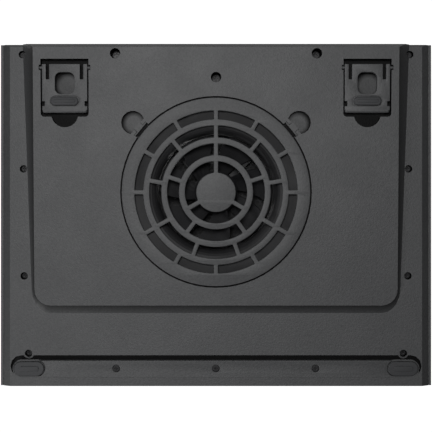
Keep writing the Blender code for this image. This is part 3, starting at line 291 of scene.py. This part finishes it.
def darkened(tree, shader, amount):
    """Paints shade in: mixes the colour towards black and takes the gloss away by the amount."""
    shaded = tree.nodes.new("ShaderNodeMix")
    shaded.data_type = "RGBA"
    shaded.inputs[7].default_value = (0.003, 0.003, 0.003, 1.0)
    gloss = tree.nodes.new("ShaderNodeMath")
    gloss.operation = "MULTIPLY_ADD"
    gloss.inputs[1].default_value = -0.45
    gloss.inputs[2].default_value = 0.50
    colour = shader.inputs["Base Color"].links[0].from_socket
    tree.links.new(amount, shaded.inputs[0])
    tree.links.new(colour, shaded.inputs[6])
    tree.links.new(shaded.outputs[2], shader.inputs["Base Color"])
    tree.links.new(amount, gloss.inputs[0])
    tree.links.new(gloss.outputs[0], shader.inputs["Specular IOR Level"])


def flank_material():
    """Case plastic with a soft shade painted in on the sloping flanks, strongest at the edge of
    the raised panel; it stands for a contact shadow and isn't a colour of the real plastic."""
    material = CASE.copy()
    material.name = "case_plastic_flank"
    tree = material.node_tree
    place = tree.nodes.new("ShaderNodeTexCoord")
    apart = tree.nodes.new("ShaderNodeSeparateXYZ")
    step = tree.nodes.new("ShaderNodeMath")
    step.operation = "MULTIPLY_ADD"
    step.inputs[1].default_value = CASE_SLOPE
    step.inputs[2].default_value = -CASE_SLOPE * cad_box[0][1]
    height = tree.nodes.new("ShaderNodeMath")
    height.operation = "SUBTRACT"
    height.inputs[1].default_value = PANEL_Z
    share = tree.nodes.new("ShaderNodeMath")
    share.operation = "DIVIDE"
    shade = tree.nodes.new("ShaderNodeMapRange")
    shade.inputs["To Min"].default_value = 0.75
    shade.inputs["To Max"].default_value = 0.28
    wires = tree.links
    wires.new(place.outputs["Object"], apart.inputs[0])
    wires.new(apart.outputs["Y"], step.inputs[0])
    wires.new(apart.outputs["Z"], height.inputs[0])
    wires.new(height.outputs[0], share.inputs[0])
    wires.new(step.outputs[0], share.inputs[1])
    wires.new(share.outputs[0], shade.inputs["Value"])
    darkened(tree, tree.nodes["Principled BSDF"], shade.outputs[0])
    return material


PANEL_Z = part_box("fan_cover")[0][2]
FAN_MIDDLE = Vector(((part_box("fan_cover")[0][0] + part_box("fan_cover")[1][0]) / 2,
                     (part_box("fan_cover")[0][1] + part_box("fan_cover")[1][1]) / 2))
SCOOP_FLOOR = PANEL_Z + 0.0035
SCOOP_ANGLE = math.radians(40)
SCOOP_OUT = 0.0943
SCOOP_MIDDLE = FAN_MIDDLE + Vector((math.cos(SCOOP_ANGLE), math.sin(SCOOP_ANGLE))) * SCOOP_OUT
WINDOW_BACK = 0.0165
foot_low, foot_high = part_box("foot_right")
window_light = ((foot_low[0] + foot_high[0]) / 2, foot_high[1] - WINDOW_BACK - 0.0016)
# Case plastic with painted shade: in the feet's pockets, lighter in an off-centre spot under each window,
# round the walls of the finger scoops, and on the flanks.
POCKET_SHADED = dusky_material("case_plastic_deep", window_light, 0.0068, 0.0108, 0.22, 0.0018)
SCOOP_SHADED = dusky_material("case_plastic_scoop", SCOOP_MIDDLE * 0.99, 0.0062, 0.0101, 0.10)
FLANK_SHADED = flank_material()


def add_piece(name, mesh, material, body, slot, *nodes):
    """Links a finished mesh as a piece that rides on a body and stands for CAD nodes."""
    piece = bpy.data.objects.new(name, mesh)
    mesh.materials.clear()
    mesh.materials.append(material)
    bpy.context.scene.collection.objects.link(piece)
    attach(piece, body)
    if nodes:
        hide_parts(*nodes)
    return piece


def smooth_by_angle(mesh, degrees):
    for polygon in mesh.polygons:
        polygon.use_smooth = True
    mesh.set_sharp_from_angle(angle=math.radians(degrees))


def softened(name, node, material, body, slot, width, segments=2, limit=16.5, chosen=None, recess=None):
    """A merged copy of a CAD node's mesh with its edges, or only the chosen ones, rounded over."""
    form = bmesh.new()
    form.from_mesh(bpy.data.objects[node].data)
    bmesh.ops.remove_doubles(form, verts=form.verts, dist=1e-6)
    bmesh.ops.dissolve_limit(form, angle_limit=math.radians(0.4), verts=form.verts, edges=form.edges)
    for face in form.faces:
        turns = [edge.calc_face_angle(0.0) for edge in face.edges]
        face.smooth = any(math.radians(1.0) < turn < math.radians(limit) for turn in turns)
    for edge in form.edges:
        edge.smooth = edge.calc_face_angle(math.pi) < math.radians(limit)
    if chosen:
        weight = form.edges.layers.float.new("bevel_weight_edge")
        for edge in form.edges:
            sharp = edge.calc_face_angle(0.0) > math.radians(limit)
            edge[weight] = chosen(*[vert.co for vert in edge.verts]) if sharp else 0.0
    marks = [recess(face.calc_center_median(), face.normal) if recess else 0 for face in form.faces]
    mesh = bpy.data.meshes.new(name)
    form.to_mesh(mesh)
    form.free()
    piece = add_piece(name, mesh, material, body, slot, node)
    # Faces that the recess function marks get case plastic with painted shade.
    if recess:
        for dusky in (POCKET_SHADED, SCOOP_SHADED, FLANK_SHADED):
            mesh.materials.append(dusky)
        mesh.polygons.foreach_set("material_index", marks)
    rounding = piece.modifiers.new("rounding", "BEVEL")
    rounding.width = width
    rounding.segments = segments
    rounding.limit_method = "WEIGHT" if chosen else "ANGLE"
    rounding.angle_limit = math.radians(limit)
    rounding.use_clamp_overlap = True
    return piece


def under_z(y):
    return PANEL_Z + CASE_SLOPE * (y - cad_box[0][1])


LONG_EDGE = 0.05


def on_face(a, b):
    """Edges round the panel's level face, round the scoops' floors and along the case's sides."""
    length = (a - b).length
    level = abs(a.z - PANEL_Z) < 1e-5 and abs(b.z - PANEL_Z) < 1e-5
    floor_edge = abs(a.z - SCOOP_FLOOR) < 1e-5 and abs(b.z - SCOOP_FLOOR) < 1e-5 and length < 0.004
    return 1.0 if floor_edge or level or length > LONG_EDGE else 0.0


PLAIN, IN_POCKET, IN_SCOOP, ON_FLANK = 0, 1, 2, 3
PANEL_HALF = 0.159
PANEL_FRONT = -0.079
SIDE_BAND = 0.180
WALL_RISE = 0.0012
FLOOR_RISE = 0.0022


def in_recess(middle, normal):
    """Which material a face of the bottom cover gets: plain, or with painted shade in a pocket, scoop or
    flank.
    """
    on_panel = abs(middle.x) < PANEL_HALF and middle.y > PANEL_FRONT
    outer = PANEL_Z if on_panel else under_z(middle.y)
    sloping = -0.95 < normal.z < -0.3
    if normal.z < -0.95 and abs(middle.z - under_z(middle.y)) < 0.0004:
        return PLAIN
    apart = (Vector((abs(middle.x), middle.y)) - SCOOP_MIDDLE).length
    if apart < 0.0108 and middle.z < SCOOP_FLOOR + 0.0002:
        return IN_SCOOP if middle.z > PANEL_Z + 0.0008 else PLAIN
    inside = abs(middle.x) < 0.186 and cad_box[0][1] + 0.003 < middle.y < cad_box[1][1] - 0.003
    if inside and sloping and PANEL_Z < middle.z < under_z(middle.y):
        return ON_FLANK
    if abs(middle.x) > SIDE_BAND and sloping:
        return ON_FLANK
    if inside and middle.z > outer + WALL_RISE and abs(normal.z) < 0.3:
        return IN_POCKET
    return IN_POCKET if normal.z < -0.9 and middle.z > outer + FLOOR_RISE else PLAIN


def on_rim(a, b):
    return 1.0 if (a - b).length > LONG_EDGE else 0.0


# The top cover's sloping side walls get case plastic with painted flank shade.
def skirt_flank(middle, normal):
    return ON_FLANK if -0.95 < normal.z < -0.1 and abs(middle.x) > 0.17 else PLAIN


softened("bottom_shell", "bottom_cover", CASE, "pad", "case_plastic", 0.0011, chosen=on_face,
         recess=in_recess)
softened("top_shell", "top_cover", CASE, "pad", "case_plastic", 0.0009, segments=3, chosen=on_rim,
         recess=skirt_flank)


# ------------------------------------------------------------------ fan grille
# Round clip-in cover, one moulding: four rings of curved slots with rounded bars between
# them, and a plain disc in the middle. It is drawn 0.5 mm smaller in radius than it is made,
# so that the gap round it shows.
FAN_X = FAN_MIDDLE.x
FAN_Y = FAN_MIDDLE.y
COVER_RADIUS = (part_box("fan_cover")[1][0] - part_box("fan_cover")[0][0]) / 2
COVER_LOW, COVER_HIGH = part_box("fan_cover")[0][2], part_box("fan_cover")[1][2]


def arc(x, y, radius, start, end, steps):
    turn = (end - start) / steps
    return [(x + radius * math.cos(start + i * turn), y + radius * math.sin(start + i * turn))
            for i in range(steps + 1)]


def ring(x, y, radius, steps):
    return arc(x, y, radius, 0.0, 2 * math.pi * (steps - 1) / steps, steps - 1)


def rounded_box(x, y, width, length, corner, steps=5):
    points = []
    for side_x, side_y, start in ((1, 1, 0), (-1, 1, 1), (-1, -1, 2), (1, -1, 3)):
        centre_x = x + side_x * (width / 2 - corner)
        centre_y = y + side_y * (length / 2 - corner)
        points += arc(centre_x, centre_y, corner, start * math.pi / 2, (start + 1) * math.pi / 2, steps)
    return points


def eased(outline, radius, steps=3):
    """The outline with every sharp corner rounded."""
    points = []
    count = len(outline)
    for i in range(count):
        here = Vector(outline[i])
        before = Vector(outline[i - 1]) - here
        after = Vector(outline[(i + 1) % count]) - here
        turn = before.angle(after)
        if turn > math.radians(150):
            points.append(tuple(here))
            continue
        back = min(radius / math.tan(turn / 2), before.length * 0.45, after.length * 0.45)
        first = here + before.normalized() * back
        last = here + after.normalized() * back
        for k in range(steps + 1):
            t = k / steps
            points.append(tuple(first * (1 - t) ** 2 + here * 2 * t * (1 - t) + last * t ** 2))
    return points


def plate_mesh(name, outlines, low, high, edge, steps=2):
    """A flat plate between two heights, with holes, whose edges are rounded all round."""
    curve = bpy.data.curves.new(name, "CURVE")
    curve.dimensions = "2D"
    curve.fill_mode = "BOTH"
    curve.extrude = (high - low) / 2 - edge
    curve.bevel_depth = edge
    curve.bevel_resolution = steps
    curve.offset = -edge
    for outline in outlines:
        line = curve.splines.new("POLY")
        line.points.add(len(outline) - 1)
        for point, (x, y) in zip(line.points, outline):
            point.co = (x, y, 0.0, 1.0)
        line.use_cyclic_u = True
    maker = bpy.data.objects.new(name, curve)
    mesh = bpy.data.meshes.new_from_object(maker)
    bpy.data.objects.remove(maker)
    bpy.data.curves.remove(curve)
    form = bmesh.new()
    form.from_mesh(mesh)
    bmesh.ops.translate(form, verts=form.verts, vec=(0.0, 0.0, (low + high) / 2))
    bmesh.ops.remove_doubles(form, verts=form.verts, dist=1e-6)
    bmesh.ops.recalc_face_normals(form, faces=form.faces)
    form.to_mesh(mesh)
    form.free()
    mesh.name = name
    smooth_by_angle(mesh, 32.0)
    return mesh


def join_meshes(name, *meshes):
    """One mesh made of several closed shells."""
    form = bmesh.new()
    for mesh in meshes:
        form.from_mesh(mesh)
    joined = bpy.data.meshes.new(name)
    form.to_mesh(joined)
    form.free()
    for mesh in meshes:
        bpy.data.meshes.remove(mesh)
    smooth_by_angle(joined, 32.0)
    return joined


def spun_mesh(name, profile, x, y, steps=48):
    """A closed solid of revolution about a vertical axis; the profile runs from axis to axis."""
    form = bmesh.new()
    verts = [form.verts.new((r, 0.0, z)) for r, z in profile]
    edges = [form.edges.new(pair) for pair in zip(verts, verts[1:])]
    bmesh.ops.spin(form, geom=verts + edges, cent=(0, 0, 0), axis=(0, 0, 1), angle=2 * math.pi,
                   steps=steps, use_merge=True, use_duplicate=False)
    bmesh.ops.remove_doubles(form, verts=form.verts, dist=1e-7)
    bmesh.ops.dissolve_degenerate(form, edges=form.edges, dist=1e-8)
    bmesh.ops.translate(form, verts=form.verts, vec=(x, y, 0.0))
    bmesh.ops.recalc_face_normals(form, faces=form.faces)
    mesh = bpy.data.meshes.new(name)
    form.to_mesh(mesh)
    form.free()
    smooth_by_angle(mesh, 32.0)
    return mesh


GRILLE_RINGS = ((0.0172, 0.0271, 3), (0.0324, 0.0426, 5), (0.0478, 0.0582, 9), (0.0635, 0.0711, 12))
SPOKE = 0.00375
grille_outlines = [ring(FAN_X, FAN_Y, COVER_RADIUS - 0.0005, 144)]
for inner, outer, spokes in GRILLE_RINGS:
    pitch = 2 * math.pi / spokes
    steps = round(96 / spokes)
    for i in range(spokes):
        start = math.pi / 2 + i * pitch
        near = math.asin(SPOKE / 2 / inner)
        far = math.asin(SPOKE / 2 / outer)
        slot = arc(FAN_X, FAN_Y, inner, start + near, start + pitch - near, steps)
        slot += arc(FAN_X, FAN_Y, outer, start + pitch - far, start + far, steps)
        grille_outlines.append(eased(slot, 0.0006))
grille = plate_mesh("grille", grille_outlines, COVER_LOW, COVER_HIGH, 0.00045)
add_piece("fan_grille", grille, CASE, "fan_cover", "case_plastic", "fan_cover")


# ------------------------------------------------------------------ cover latches
# The two latches of the grille: a thin crossbar that hooks behind the edge of its bay, on a
# short stem that ends in the finger scoop.
# The root of each latch, deep in its scoop, gets case plastic with painted recess shade.
def latch_root(middle, normal):
    return IN_POCKET if middle.z > PANEL_Z + 0.0024 else PLAIN


for side in ("left", "right"):
    softened(f"latch_clip_{side}", f"cover_latch_{side}", CASE, f"latch_{side}", "case_plastic", 0.00018,
             recess=latch_root)


# ------------------------------------------------------------------ flip-out feet
# One moulding each: a plate with a window, two slits at the hinge that let its ears spring
# in, pins on both sides, and a rolled lip in front for the fingertip.
def foot_mesh(name, side):
    low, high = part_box(f"foot_{side}")
    pad_low, pad_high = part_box(f"foot_pad_{side}")
    x = (low[0] + high[0]) / 2
    half = (high[0] - low[0]) / 2 - 0.0024
    front, rear = low[1], high[1]
    under, over = low[2], high[2]
    slit, slit_deep, slit_out = 0.0028, 0.0132, 0.0148
    pad_y = (pad_low[1] + pad_high[1]) / 2
    notch_x, notch_y = 0.0023, 0.0043
    lip = 0.0044
    edge = []
    for s in (1, -1):
        row = [(x + s * half, rear), (x + s * half, pad_y), (x + s * (half - notch_x), pad_y),
               (x + s * (half - notch_x), pad_y - notch_y), (x + s * half, pad_y - notch_y),
               (x + s * half, front + 0.0024)]
        edge += row if s == 1 else row[::-1]
    inner = slit_out - slit / 2
    outer = slit_out + slit / 2
    deep = rear - slit_deep
    edge += [(x - outer, rear), (x - outer, deep), (x - inner, deep), (x - inner, rear),
             (x + inner, rear), (x + inner, deep), (x + outer, deep), (x + outer, rear)]
    window = rounded_box(x, rear - 0.0165, 0.0168, 0.0190, 0.005)
    seat = rounded_box(x, pad_y, pad_high[0] - pad_low[0] + 0.0014, pad_high[1] - pad_low[1] + 0.0014,
                       (pad_high[1] - pad_low[1]) / 2 + 0.00065, 10)
    seat_z = under + 0.0009
    face = plate_mesh(name + "_face", [eased(edge, 0.0005), window, seat], under, seat_z + 0.0003, 0.0003)
    back = plate_mesh(name + "_back", [eased(edge, 0.0005), window], seat_z - 0.0001, over, 0.0002)
    front_bar = rounded_box(x, front + lip / 2, 2 * half, lip, 0.0019, 5)
    bar = plate_mesh(name + "_lip", [front_bar], under, over, 0.0018, 4)
    axis_y, axis_z = rear - 0.0030, under + 0.0022
    form = bmesh.new()
    reach = (high[0] - low[0]) / 2 - slit_out - slit / 2
    for s in (1, -1):
        middle = x + s * (slit_out + slit / 2 + reach / 2)
        place = Matrix.Translation((middle, axis_y, axis_z)) @ Matrix.Rotation(math.pi / 2, 4, "Y")
        bmesh.ops.create_cone(form, cap_ends=True, segments=24, radius1=0.00155, radius2=0.00155,
                              depth=reach - 0.0001, matrix=place)
    pins = bpy.data.meshes.new(name + "_pins")
    form.to_mesh(pins)
    form.free()
    return join_meshes(name, face, back, bar, pins)


for side in ("left", "right"):
    add_piece(f"stand_foot_{side}", foot_mesh(f"stand_foot_{side}", side), CASE, f"foot_{side}",
              "case_plastic", f"foot_{side}")


# ------------------------------------------------------------------ rubber pads
# Moulded rubber pads, glued into shallow seats on the feet and at both ends of the rail:
# a rounded block with a low rib along its middle, a little dusty from the table.
RUBBER = finish_material("rubber", (0.030, 0.031, 0.033), (0.052, 0.053, 0.056), (0.72, 0.60), 0.35, 1400.0,
                         specular=0.35)


def pad_mesh(name, node):
    low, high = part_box(node)
    x, y = (low[0] + high[0]) / 2, (low[1] + high[1]) / 2
    length, width = high[0] - low[0], high[1] - low[1]
    rise = 0.0006
    body = plate_mesh(name + "_body", [rounded_box(x, y, length, width, width / 2 - 1e-5, 12)],
                      low[2] + rise, high[2], min(0.00125, (high[2] - low[2] - rise) / 2 - 0.00005), 4)
    top = rounded_box(x, y, length - width * 0.75, width * 0.36, width * 0.17, 5)
    rib = plate_mesh(name + "_rib", [top], low[2], low[2] + 0.0014, 0.00035, 2)
    return join_meshes(name, body, rib)


for pad, body in (("foot_pad_left", "foot_left"), ("foot_pad_right", "foot_right"),
                  ("front_pad_left", "pad"), ("front_pad_right", "pad")):
    add_piece(f"rubber_{pad}", pad_mesh(f"rubber_{pad}", pad), RUBBER, body, "rubber", pad)


# ------------------------------------------------------------------ front rail
# Separate moulded bar with round ends along the front edge, held by three screws through
# sunk holes, with an open seat at each end for a rubber pad.
rail_low, rail_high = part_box("front_rail")
RAIL_Y = (rail_low[1] + rail_high[1]) / 2
rail_width = rail_high[1] - rail_low[1]
rail_outline = rounded_box(0.0, RAIL_Y, rail_high[0] - rail_low[0], rail_width, rail_width / 2 - 1e-5, 14)
rail_holes = []
for name in ("rail_screw_1", "rail_screw_2", "rail_screw_3"):
    low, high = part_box(name)
    bore = (high[0] - low[0]) / 2 + 0.0003
    rail_holes.append(ring((low[0] + high[0]) / 2, (low[1] + high[1]) / 2, bore, 32))
for name in ("front_pad_left", "front_pad_right"):
    low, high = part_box(name)
    seat = (high[1] - low[1]) + 0.0012
    rail_holes.append(rounded_box((low[0] + high[0]) / 2, RAIL_Y, high[0] - low[0] + 0.0012, seat,
                                  seat / 2 - 1e-5, 12))
rail_faces = plate_mesh("rail_bar_face", [rail_outline] + rail_holes, rail_low[2], rail_high[2] - 0.0010,
                        0.0006, 3)
rail_back = plate_mesh("rail_bar_back", [rail_outline], rail_high[2] - 0.0012, rail_high[2], 0.0003)
rail_bar = join_meshes("rail_bar", rail_faces, rail_back)
add_piece("rail_bar", rail_bar, CASE, "pad", "case_plastic", "front_rail")


# ------------------------------------------------------------------ screws
# Blackened self-tapping screws with low domed heads and cross recesses: eight down the
# sides, three through the panel, three in the rail and four that hold the fan frame.
SCREW = finish_material("black_zinc", (0.012, 0.012, 0.013), (0.026, 0.026, 0.028), (0.50, 0.40), 0.10, 600.0,
                        specular=0.28)


def screw_mesh(name, node):
    low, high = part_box(node)
    x, y = (low[0] + high[0]) / 2, (low[1] + high[1]) / 2
    radius = (high[0] - low[0]) / 2
    under = low[2]
    length = high[2] - low[2]
    head = 0.0010 if radius < 0.003 and length < 0.0102 else 0.0016
    arm, half = radius * 0.56, radius * 0.13
    cross = [(half, arm), (-half, arm), (-half, half), (-arm, half), (-arm, -half), (-half, -half),
             (-half, -arm), (half, -arm), (half, -half), (arm, -half), (arm, half), (half, half)]
    recess = [(x + px, y + py) for px, py in cross]
    face = plate_mesh(name + "_face", [ring(x, y, radius, 40), recess], under, under + head * 0.75, 0.00022)
    shank = 0.0015
    body = [(0.0, under + head * 0.70), (radius * 0.93, under + head * 0.70), (radius * 0.96, under + head),
            (shank, under + head)]
    depth = under + head + 0.0006
    while depth < high[2] - 0.0016:
        body += [(shank, depth), (shank * 0.78, depth + 0.00035)]
        depth += 0.0008
    body += [(shank * 0.75, high[2] - 0.0010), (0.0, high[2])]
    core = spun_mesh(name + "_core", body, x, y, 20)
    screw = join_meshes(name, face, core)
    if node.startswith("fan"):
        middle = (low[2] + high[2]) / 2
        screw.transform(Matrix.Translation((0, y, middle)) @ Matrix.Rotation(math.pi, 4, "X")
                        @ Matrix.Translation((0, -y, -middle)))
    return screw


screw_names = [f"{kind}_screw_{i}" for kind, count in (("side", 8), ("panel", 3), ("rail", 3), ("fan", 4))
               for i in range(1, count + 1)]
for name in screw_names:
    add_piece(f"cross_{name}", screw_mesh(f"cross_{name}", name), SCREW, "pad", "black_zinc", name)


# ------------------------------------------------------------------ fan frame
# One black moulding: a flat flange on the case's ledge, a flared inlet, the duct, and four
# struts that carry the motor.
FAN = finish_material("fan_plastic", (0.012, 0.012, 0.013), (0.020, 0.020, 0.021), (0.62, 0.52), 0.12, 500.0,
                      specular=0.22)
softened("fan_housing", "fan_frame", FAN, "pad", "fan_plastic", 0.0003)


# ------------------------------------------------------------------ impeller
# Seven swept blades round a hub cap, moulded in one, with the steel shaft and the ferrite
# ring magnet pressed into the hub.
# The blades' plastic is the fan plastic made darker and less glossy: painted shade deep inside the fan.
WHEEL_SHADED = finish_material("impeller_plastic_shaded", (0.007, 0.007, 0.008), (0.012, 0.012, 0.013), (0.72, 0.62),
                        0.12, 500.0, specular=0.22)
softened("fan_wheel", "impeller", WHEEL_SHADED, "impeller", "fan_plastic", 0.00025)


# ------------------------------------------------------------------ motor, boards and lead
# Inside the hub and behind the rear wall: laminated stator, sintered bronze sleeve, shaft,
# magnet, two small circuit boards, the inlet socket, the switch and the fan's lead.
def carry_over(node, material):
    target = bpy.data.objects[node]
    if not target.data.materials:
        target.data.materials.append(material)
    for place in target.material_slots:
        place.material = material


STEEL = finish_material("steel", (0.30, 0.30, 0.31), (0.42, 0.42, 0.43), (0.36, 0.26), 0.10, 600.0, metal=1.0)
STATOR = finish_material("stator", (0.20, 0.20, 0.21), (0.30, 0.30, 0.31), (0.50, 0.38), 0.3, 700.0,
                         metal=1.0)
BRASS = finish_material("brass", (0.42, 0.30, 0.13), (0.55, 0.40, 0.18), (0.45, 0.33), 0.3, 900.0, metal=1.0)
MAGNET = finish_material("magnet", (0.055, 0.052, 0.050), (0.085, 0.080, 0.076), (0.80, 0.66), 0.4, 800.0)
BOARD = finish_material("circuit_board", (0.020, 0.090, 0.035), (0.035, 0.130, 0.055), (0.35, 0.25),
                        0.15, 500.0)
BLACK = finish_material("black_plastic", (0.018, 0.018, 0.019), (0.028, 0.028, 0.030), (0.50, 0.40),
                        0.30, 900.0)
SHEATH = finish_material("lead_sheath", (0.016, 0.016, 0.017), (0.026, 0.026, 0.028), (0.55, 0.42),
                         0.20, 700.0)
for node, material in (("fan_stator", STATOR), ("fan_bearing", BRASS), ("fan_shaft", STEEL),
                       ("rotor_magnet", MAGNET), ("fan_board", BOARD), ("usb_board", BOARD),
                       ("switch_body", BLACK)):
    carry_over(node, material)


# ------------------------------------------------------------------ inlet socket, switch and lead
# Folded steel shell of the power inlet with its contact tongue, the ribbed slider of the
# speed switch, and the thin two-core lead from the inlet board to the motor.
def block_mesh(name, low, high, edge, segments=2):
    form = bmesh.new()
    bmesh.ops.create_cube(form, size=1.0)
    for vert in form.verts:
        vert.co = Vector([(a + b) / 2 + c * (b - a) for a, b, c in zip(low, high, vert.co)])
    bmesh.ops.bevel(form, geom=form.edges[:], offset=edge, segments=segments, profile=0.5, affect="EDGES",
                    material=-1)
    mesh = bpy.data.meshes.new(name)
    form.to_mesh(mesh)
    form.free()
    smooth_by_angle(mesh, 32.0)
    return mesh


softened("inlet_shell", "usb_socket", STEEL, "pad", "steel", 0.00015)
low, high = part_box("usb_socket")
tongue = block_mesh("inlet_tongue", (low[0] + 0.0012, low[1] + 0.0010, (low[2] + high[2]) / 2 - 0.0003),
                    (high[0] - 0.0012, high[1] - 0.0012, (low[2] + high[2]) / 2 + 0.0005), 0.0001)
add_piece("inlet_tongue", tongue, BLACK, "pad", "black_plastic")

low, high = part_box("switch_slider")
ribs = []
steps = 4
for i in range(steps):
    start = low[0] + (high[0] - low[0]) * (i + 0.15) / steps
    stop = low[0] + (high[0] - low[0]) * (i + 0.80) / steps
    rib_low = (start, high[1] - 0.0006, low[2] + 0.0002)
    ribs.append(block_mesh(f"rib_{i}", rib_low, (stop, high[1], high[2] - 0.0002), 0.0001))
knob = block_mesh("knob", low, (high[0], high[1] - 0.0004, high[2]), 0.0002)
add_piece("switch_knob", join_meshes("switch_knob", knob, *ribs), BLACK, "switch_slider", "black_plastic",
          "switch_slider")
softened("motor_lead", "fan_lead", SHEATH, "pad", "lead_sheath", 0.0001)


# ------------------------------------------------------------------ perforated top sheet
# Powder-coated steel sheet with a close field of six-sided holes, held under the edge of the
# top cover's opening; the laptop's warm air is drawn away through it.
MESH = finish_material("steel_mesh", (0.007, 0.007, 0.008), (0.014, 0.014, 0.015), (0.66, 0.55), 0.35, 1200.0,
                       specular=0.25)
low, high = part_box("top_mesh")
half_x, half_y = high[0], high[1]
CELL = 0.0040
HOLE = 0.00155
EDGE = 0.0012
cell_radius = CELL / math.sqrt(3.0)
reach_x, reach_y = half_x - EDGE, half_y - EDGE
slope = math.atan(CASE_SLOPE)
sheet_thick = 0.0006
middle_z = (low[2] + high[2]) / 2
form = bmesh.new()
corners = {}


def corner_at(x, y):
    key = (round(x * 1e6), round(y * 1e6))
    if key not in corners:
        corners[key] = form.verts.new((x, y, 0.0))
    return corners[key]


columns = int(reach_x / CELL)
rows = int(reach_y / (CELL * math.sqrt(0.75)))
for j in range(-rows, rows + 1):
    for i in range(-columns - 1, columns + 2):
        x = (i + 0.5 * (j % 2)) * CELL
        y = j * CELL * math.sqrt(0.75)
        if abs(x) > reach_x - CELL / 2 or abs(y) > reach_y - cell_radius:
            continue
        outer = []
        inner = []
        for k in range(6):
            angle = math.radians(30 + 60 * k)
            outer.append(corner_at(x + cell_radius * math.cos(angle), y + cell_radius * math.sin(angle)))
            inner.append(form.verts.new((x + HOLE * math.cos(angle), y + HOLE * math.sin(angle), 0.0)))
        for k in range(6):
            n = (k + 1) % 6
            form.faces.new((outer[k], outer[n], inner[n], inner[k]))
bmesh.ops.remove_doubles(form, verts=form.verts, dist=1e-6)
bmesh.ops.rotate(form, verts=form.verts, cent=(0, 0, 0), matrix=Matrix.Rotation(slope, 3, "X"))
bmesh.ops.translate(form, verts=form.verts, vec=(0.0, 0.0, middle_z))
sheet = bpy.data.meshes.new("perforated_sheet")
form.to_mesh(sheet)
form.free()
perforated = add_piece("perforated_sheet", sheet, MESH, "pad", "steel_mesh", "top_mesh")
thick = perforated.modifiers.new("thickness", "SOLIDIFY")
thick.thickness = sheet_thick
thick.offset = 0.0


# ------------------------------------------------------------------ grip strips
# Two moulded rubber strips set into the top cover, ribbed across so that the laptop stays put.
def strip_mesh(name, node):
    low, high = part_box(node)
    x, half_width = (low[0] + high[0]) / 2, (high[0] - low[0]) / 2
    length = (high[1] - low[1])
    foot = 0.0015
    rows = 352
    form = bmesh.new()
    edge = [(0.5, 0.0), (0.86, 0.06), (0.96, 0.35), (1.0, 1.0)]
    across = [(-share, fall) for share, fall in reversed(edge)] + edge
    grid = []
    for r in range(rows + 1):
        y = low[1] + 0.0001 + (length - 0.0002) * r / rows
        base = high[2] - (high[1] - y) * CASE_SLOPE - 0.00004
        end = min(1.0, min(r, rows - r) / 4)
        wave = 0.0003 * (0.5 - 0.5 * math.cos(2 * math.pi * r / 4))
        line = []
        for share, fall in across:
            drop = 0.0009 * fall + (wave if fall < 0.5 else 0.0) + 0.0009 * (1 - end) * (1 - fall)
            line.append(form.verts.new((x + share * half_width, y, base - drop)))
        line.append(form.verts.new((x + half_width, y, base - foot)))
        line.append(form.verts.new((x - half_width, y, base - foot)))
        grid.append(line)
    width = len(grid[0])
    for a, b in zip(grid, grid[1:]):
        for k in range(width):
            n = (k + 1) % width
            form.faces.new((a[k], a[n], b[n], b[k]))
    form.faces.new(grid[0])
    form.faces.new(grid[-1])
    bmesh.ops.recalc_face_normals(form, faces=form.faces)
    mesh = bpy.data.meshes.new(name)
    form.to_mesh(mesh)
    form.free()
    smooth_by_angle(mesh, 40.0)
    return mesh


for side in ("left", "right"):
    add_piece(f"ribbed_grip_{side}", strip_mesh(f"ribbed_grip_{side}", f"grip_strip_{side}"), RUBBER, "pad",
              "rubber", f"grip_strip_{side}")


# ------------------------------------------------------------------ painted shade behind the pad
# A dark sheet of painted shade stands above the pad, for the shade inside it in this view. It
# shows only from below, through the grille; from above the light and the eye pass it.
backing_form = bmesh.new()
bmesh.ops.create_grid(backing_form, x_segments=1, y_segments=1, size=1.0)
for vert in backing_form.verts:
    vert.co = (vert.co.x * 0.124, vert.co.y * 0.094, 0.0)
lean = Matrix.Rotation(slope, 3, "X")
bmesh.ops.rotate(backing_form, verts=backing_form.verts, cent=(0, 0, 0), matrix=lean)
bmesh.ops.translate(backing_form, verts=backing_form.verts, vec=(0.0, 0.0, middle_z + 0.0016))
backing_mesh = bpy.data.meshes.new("backing")
backing_form.to_mesh(backing_mesh)
backing_form.free()
backing = bpy.data.objects.new("backing", backing_mesh)
bpy.context.scene.collection.objects.link(backing)
backing_material = bpy.data.materials.new("backing")
backing_material.use_nodes = True
shade_sheet_tree = backing_material.node_tree
shade_sheet_shader = shade_sheet_tree.nodes["Principled BSDF"]
shade_sheet_shader.inputs["Base Color"].default_value = (0.012, 0.012, 0.012, 1.0)
shade_sheet_shader.inputs["Roughness"].default_value = 0.9
glass = shade_sheet_tree.nodes.new("ShaderNodeBsdfTransparent")
side_seen = shade_sheet_tree.nodes.new("ShaderNodeNewGeometry")
either = shade_sheet_tree.nodes.new("ShaderNodeMixShader")
shade_sheet_tree.links.new(side_seen.outputs["Backfacing"], either.inputs[0])
shade_sheet_tree.links.new(glass.outputs[0], either.inputs[1])
shade_sheet_tree.links.new(shade_sheet_shader.outputs[0], either.inputs[2])
shade_sheet_tree.links.new(either.outputs[0], shade_sheet_tree.nodes["Material Output"].inputs["Surface"])
backing_mesh.materials.append(backing_material)
backing.visible_shadow = False
backing.visible_diffuse = False
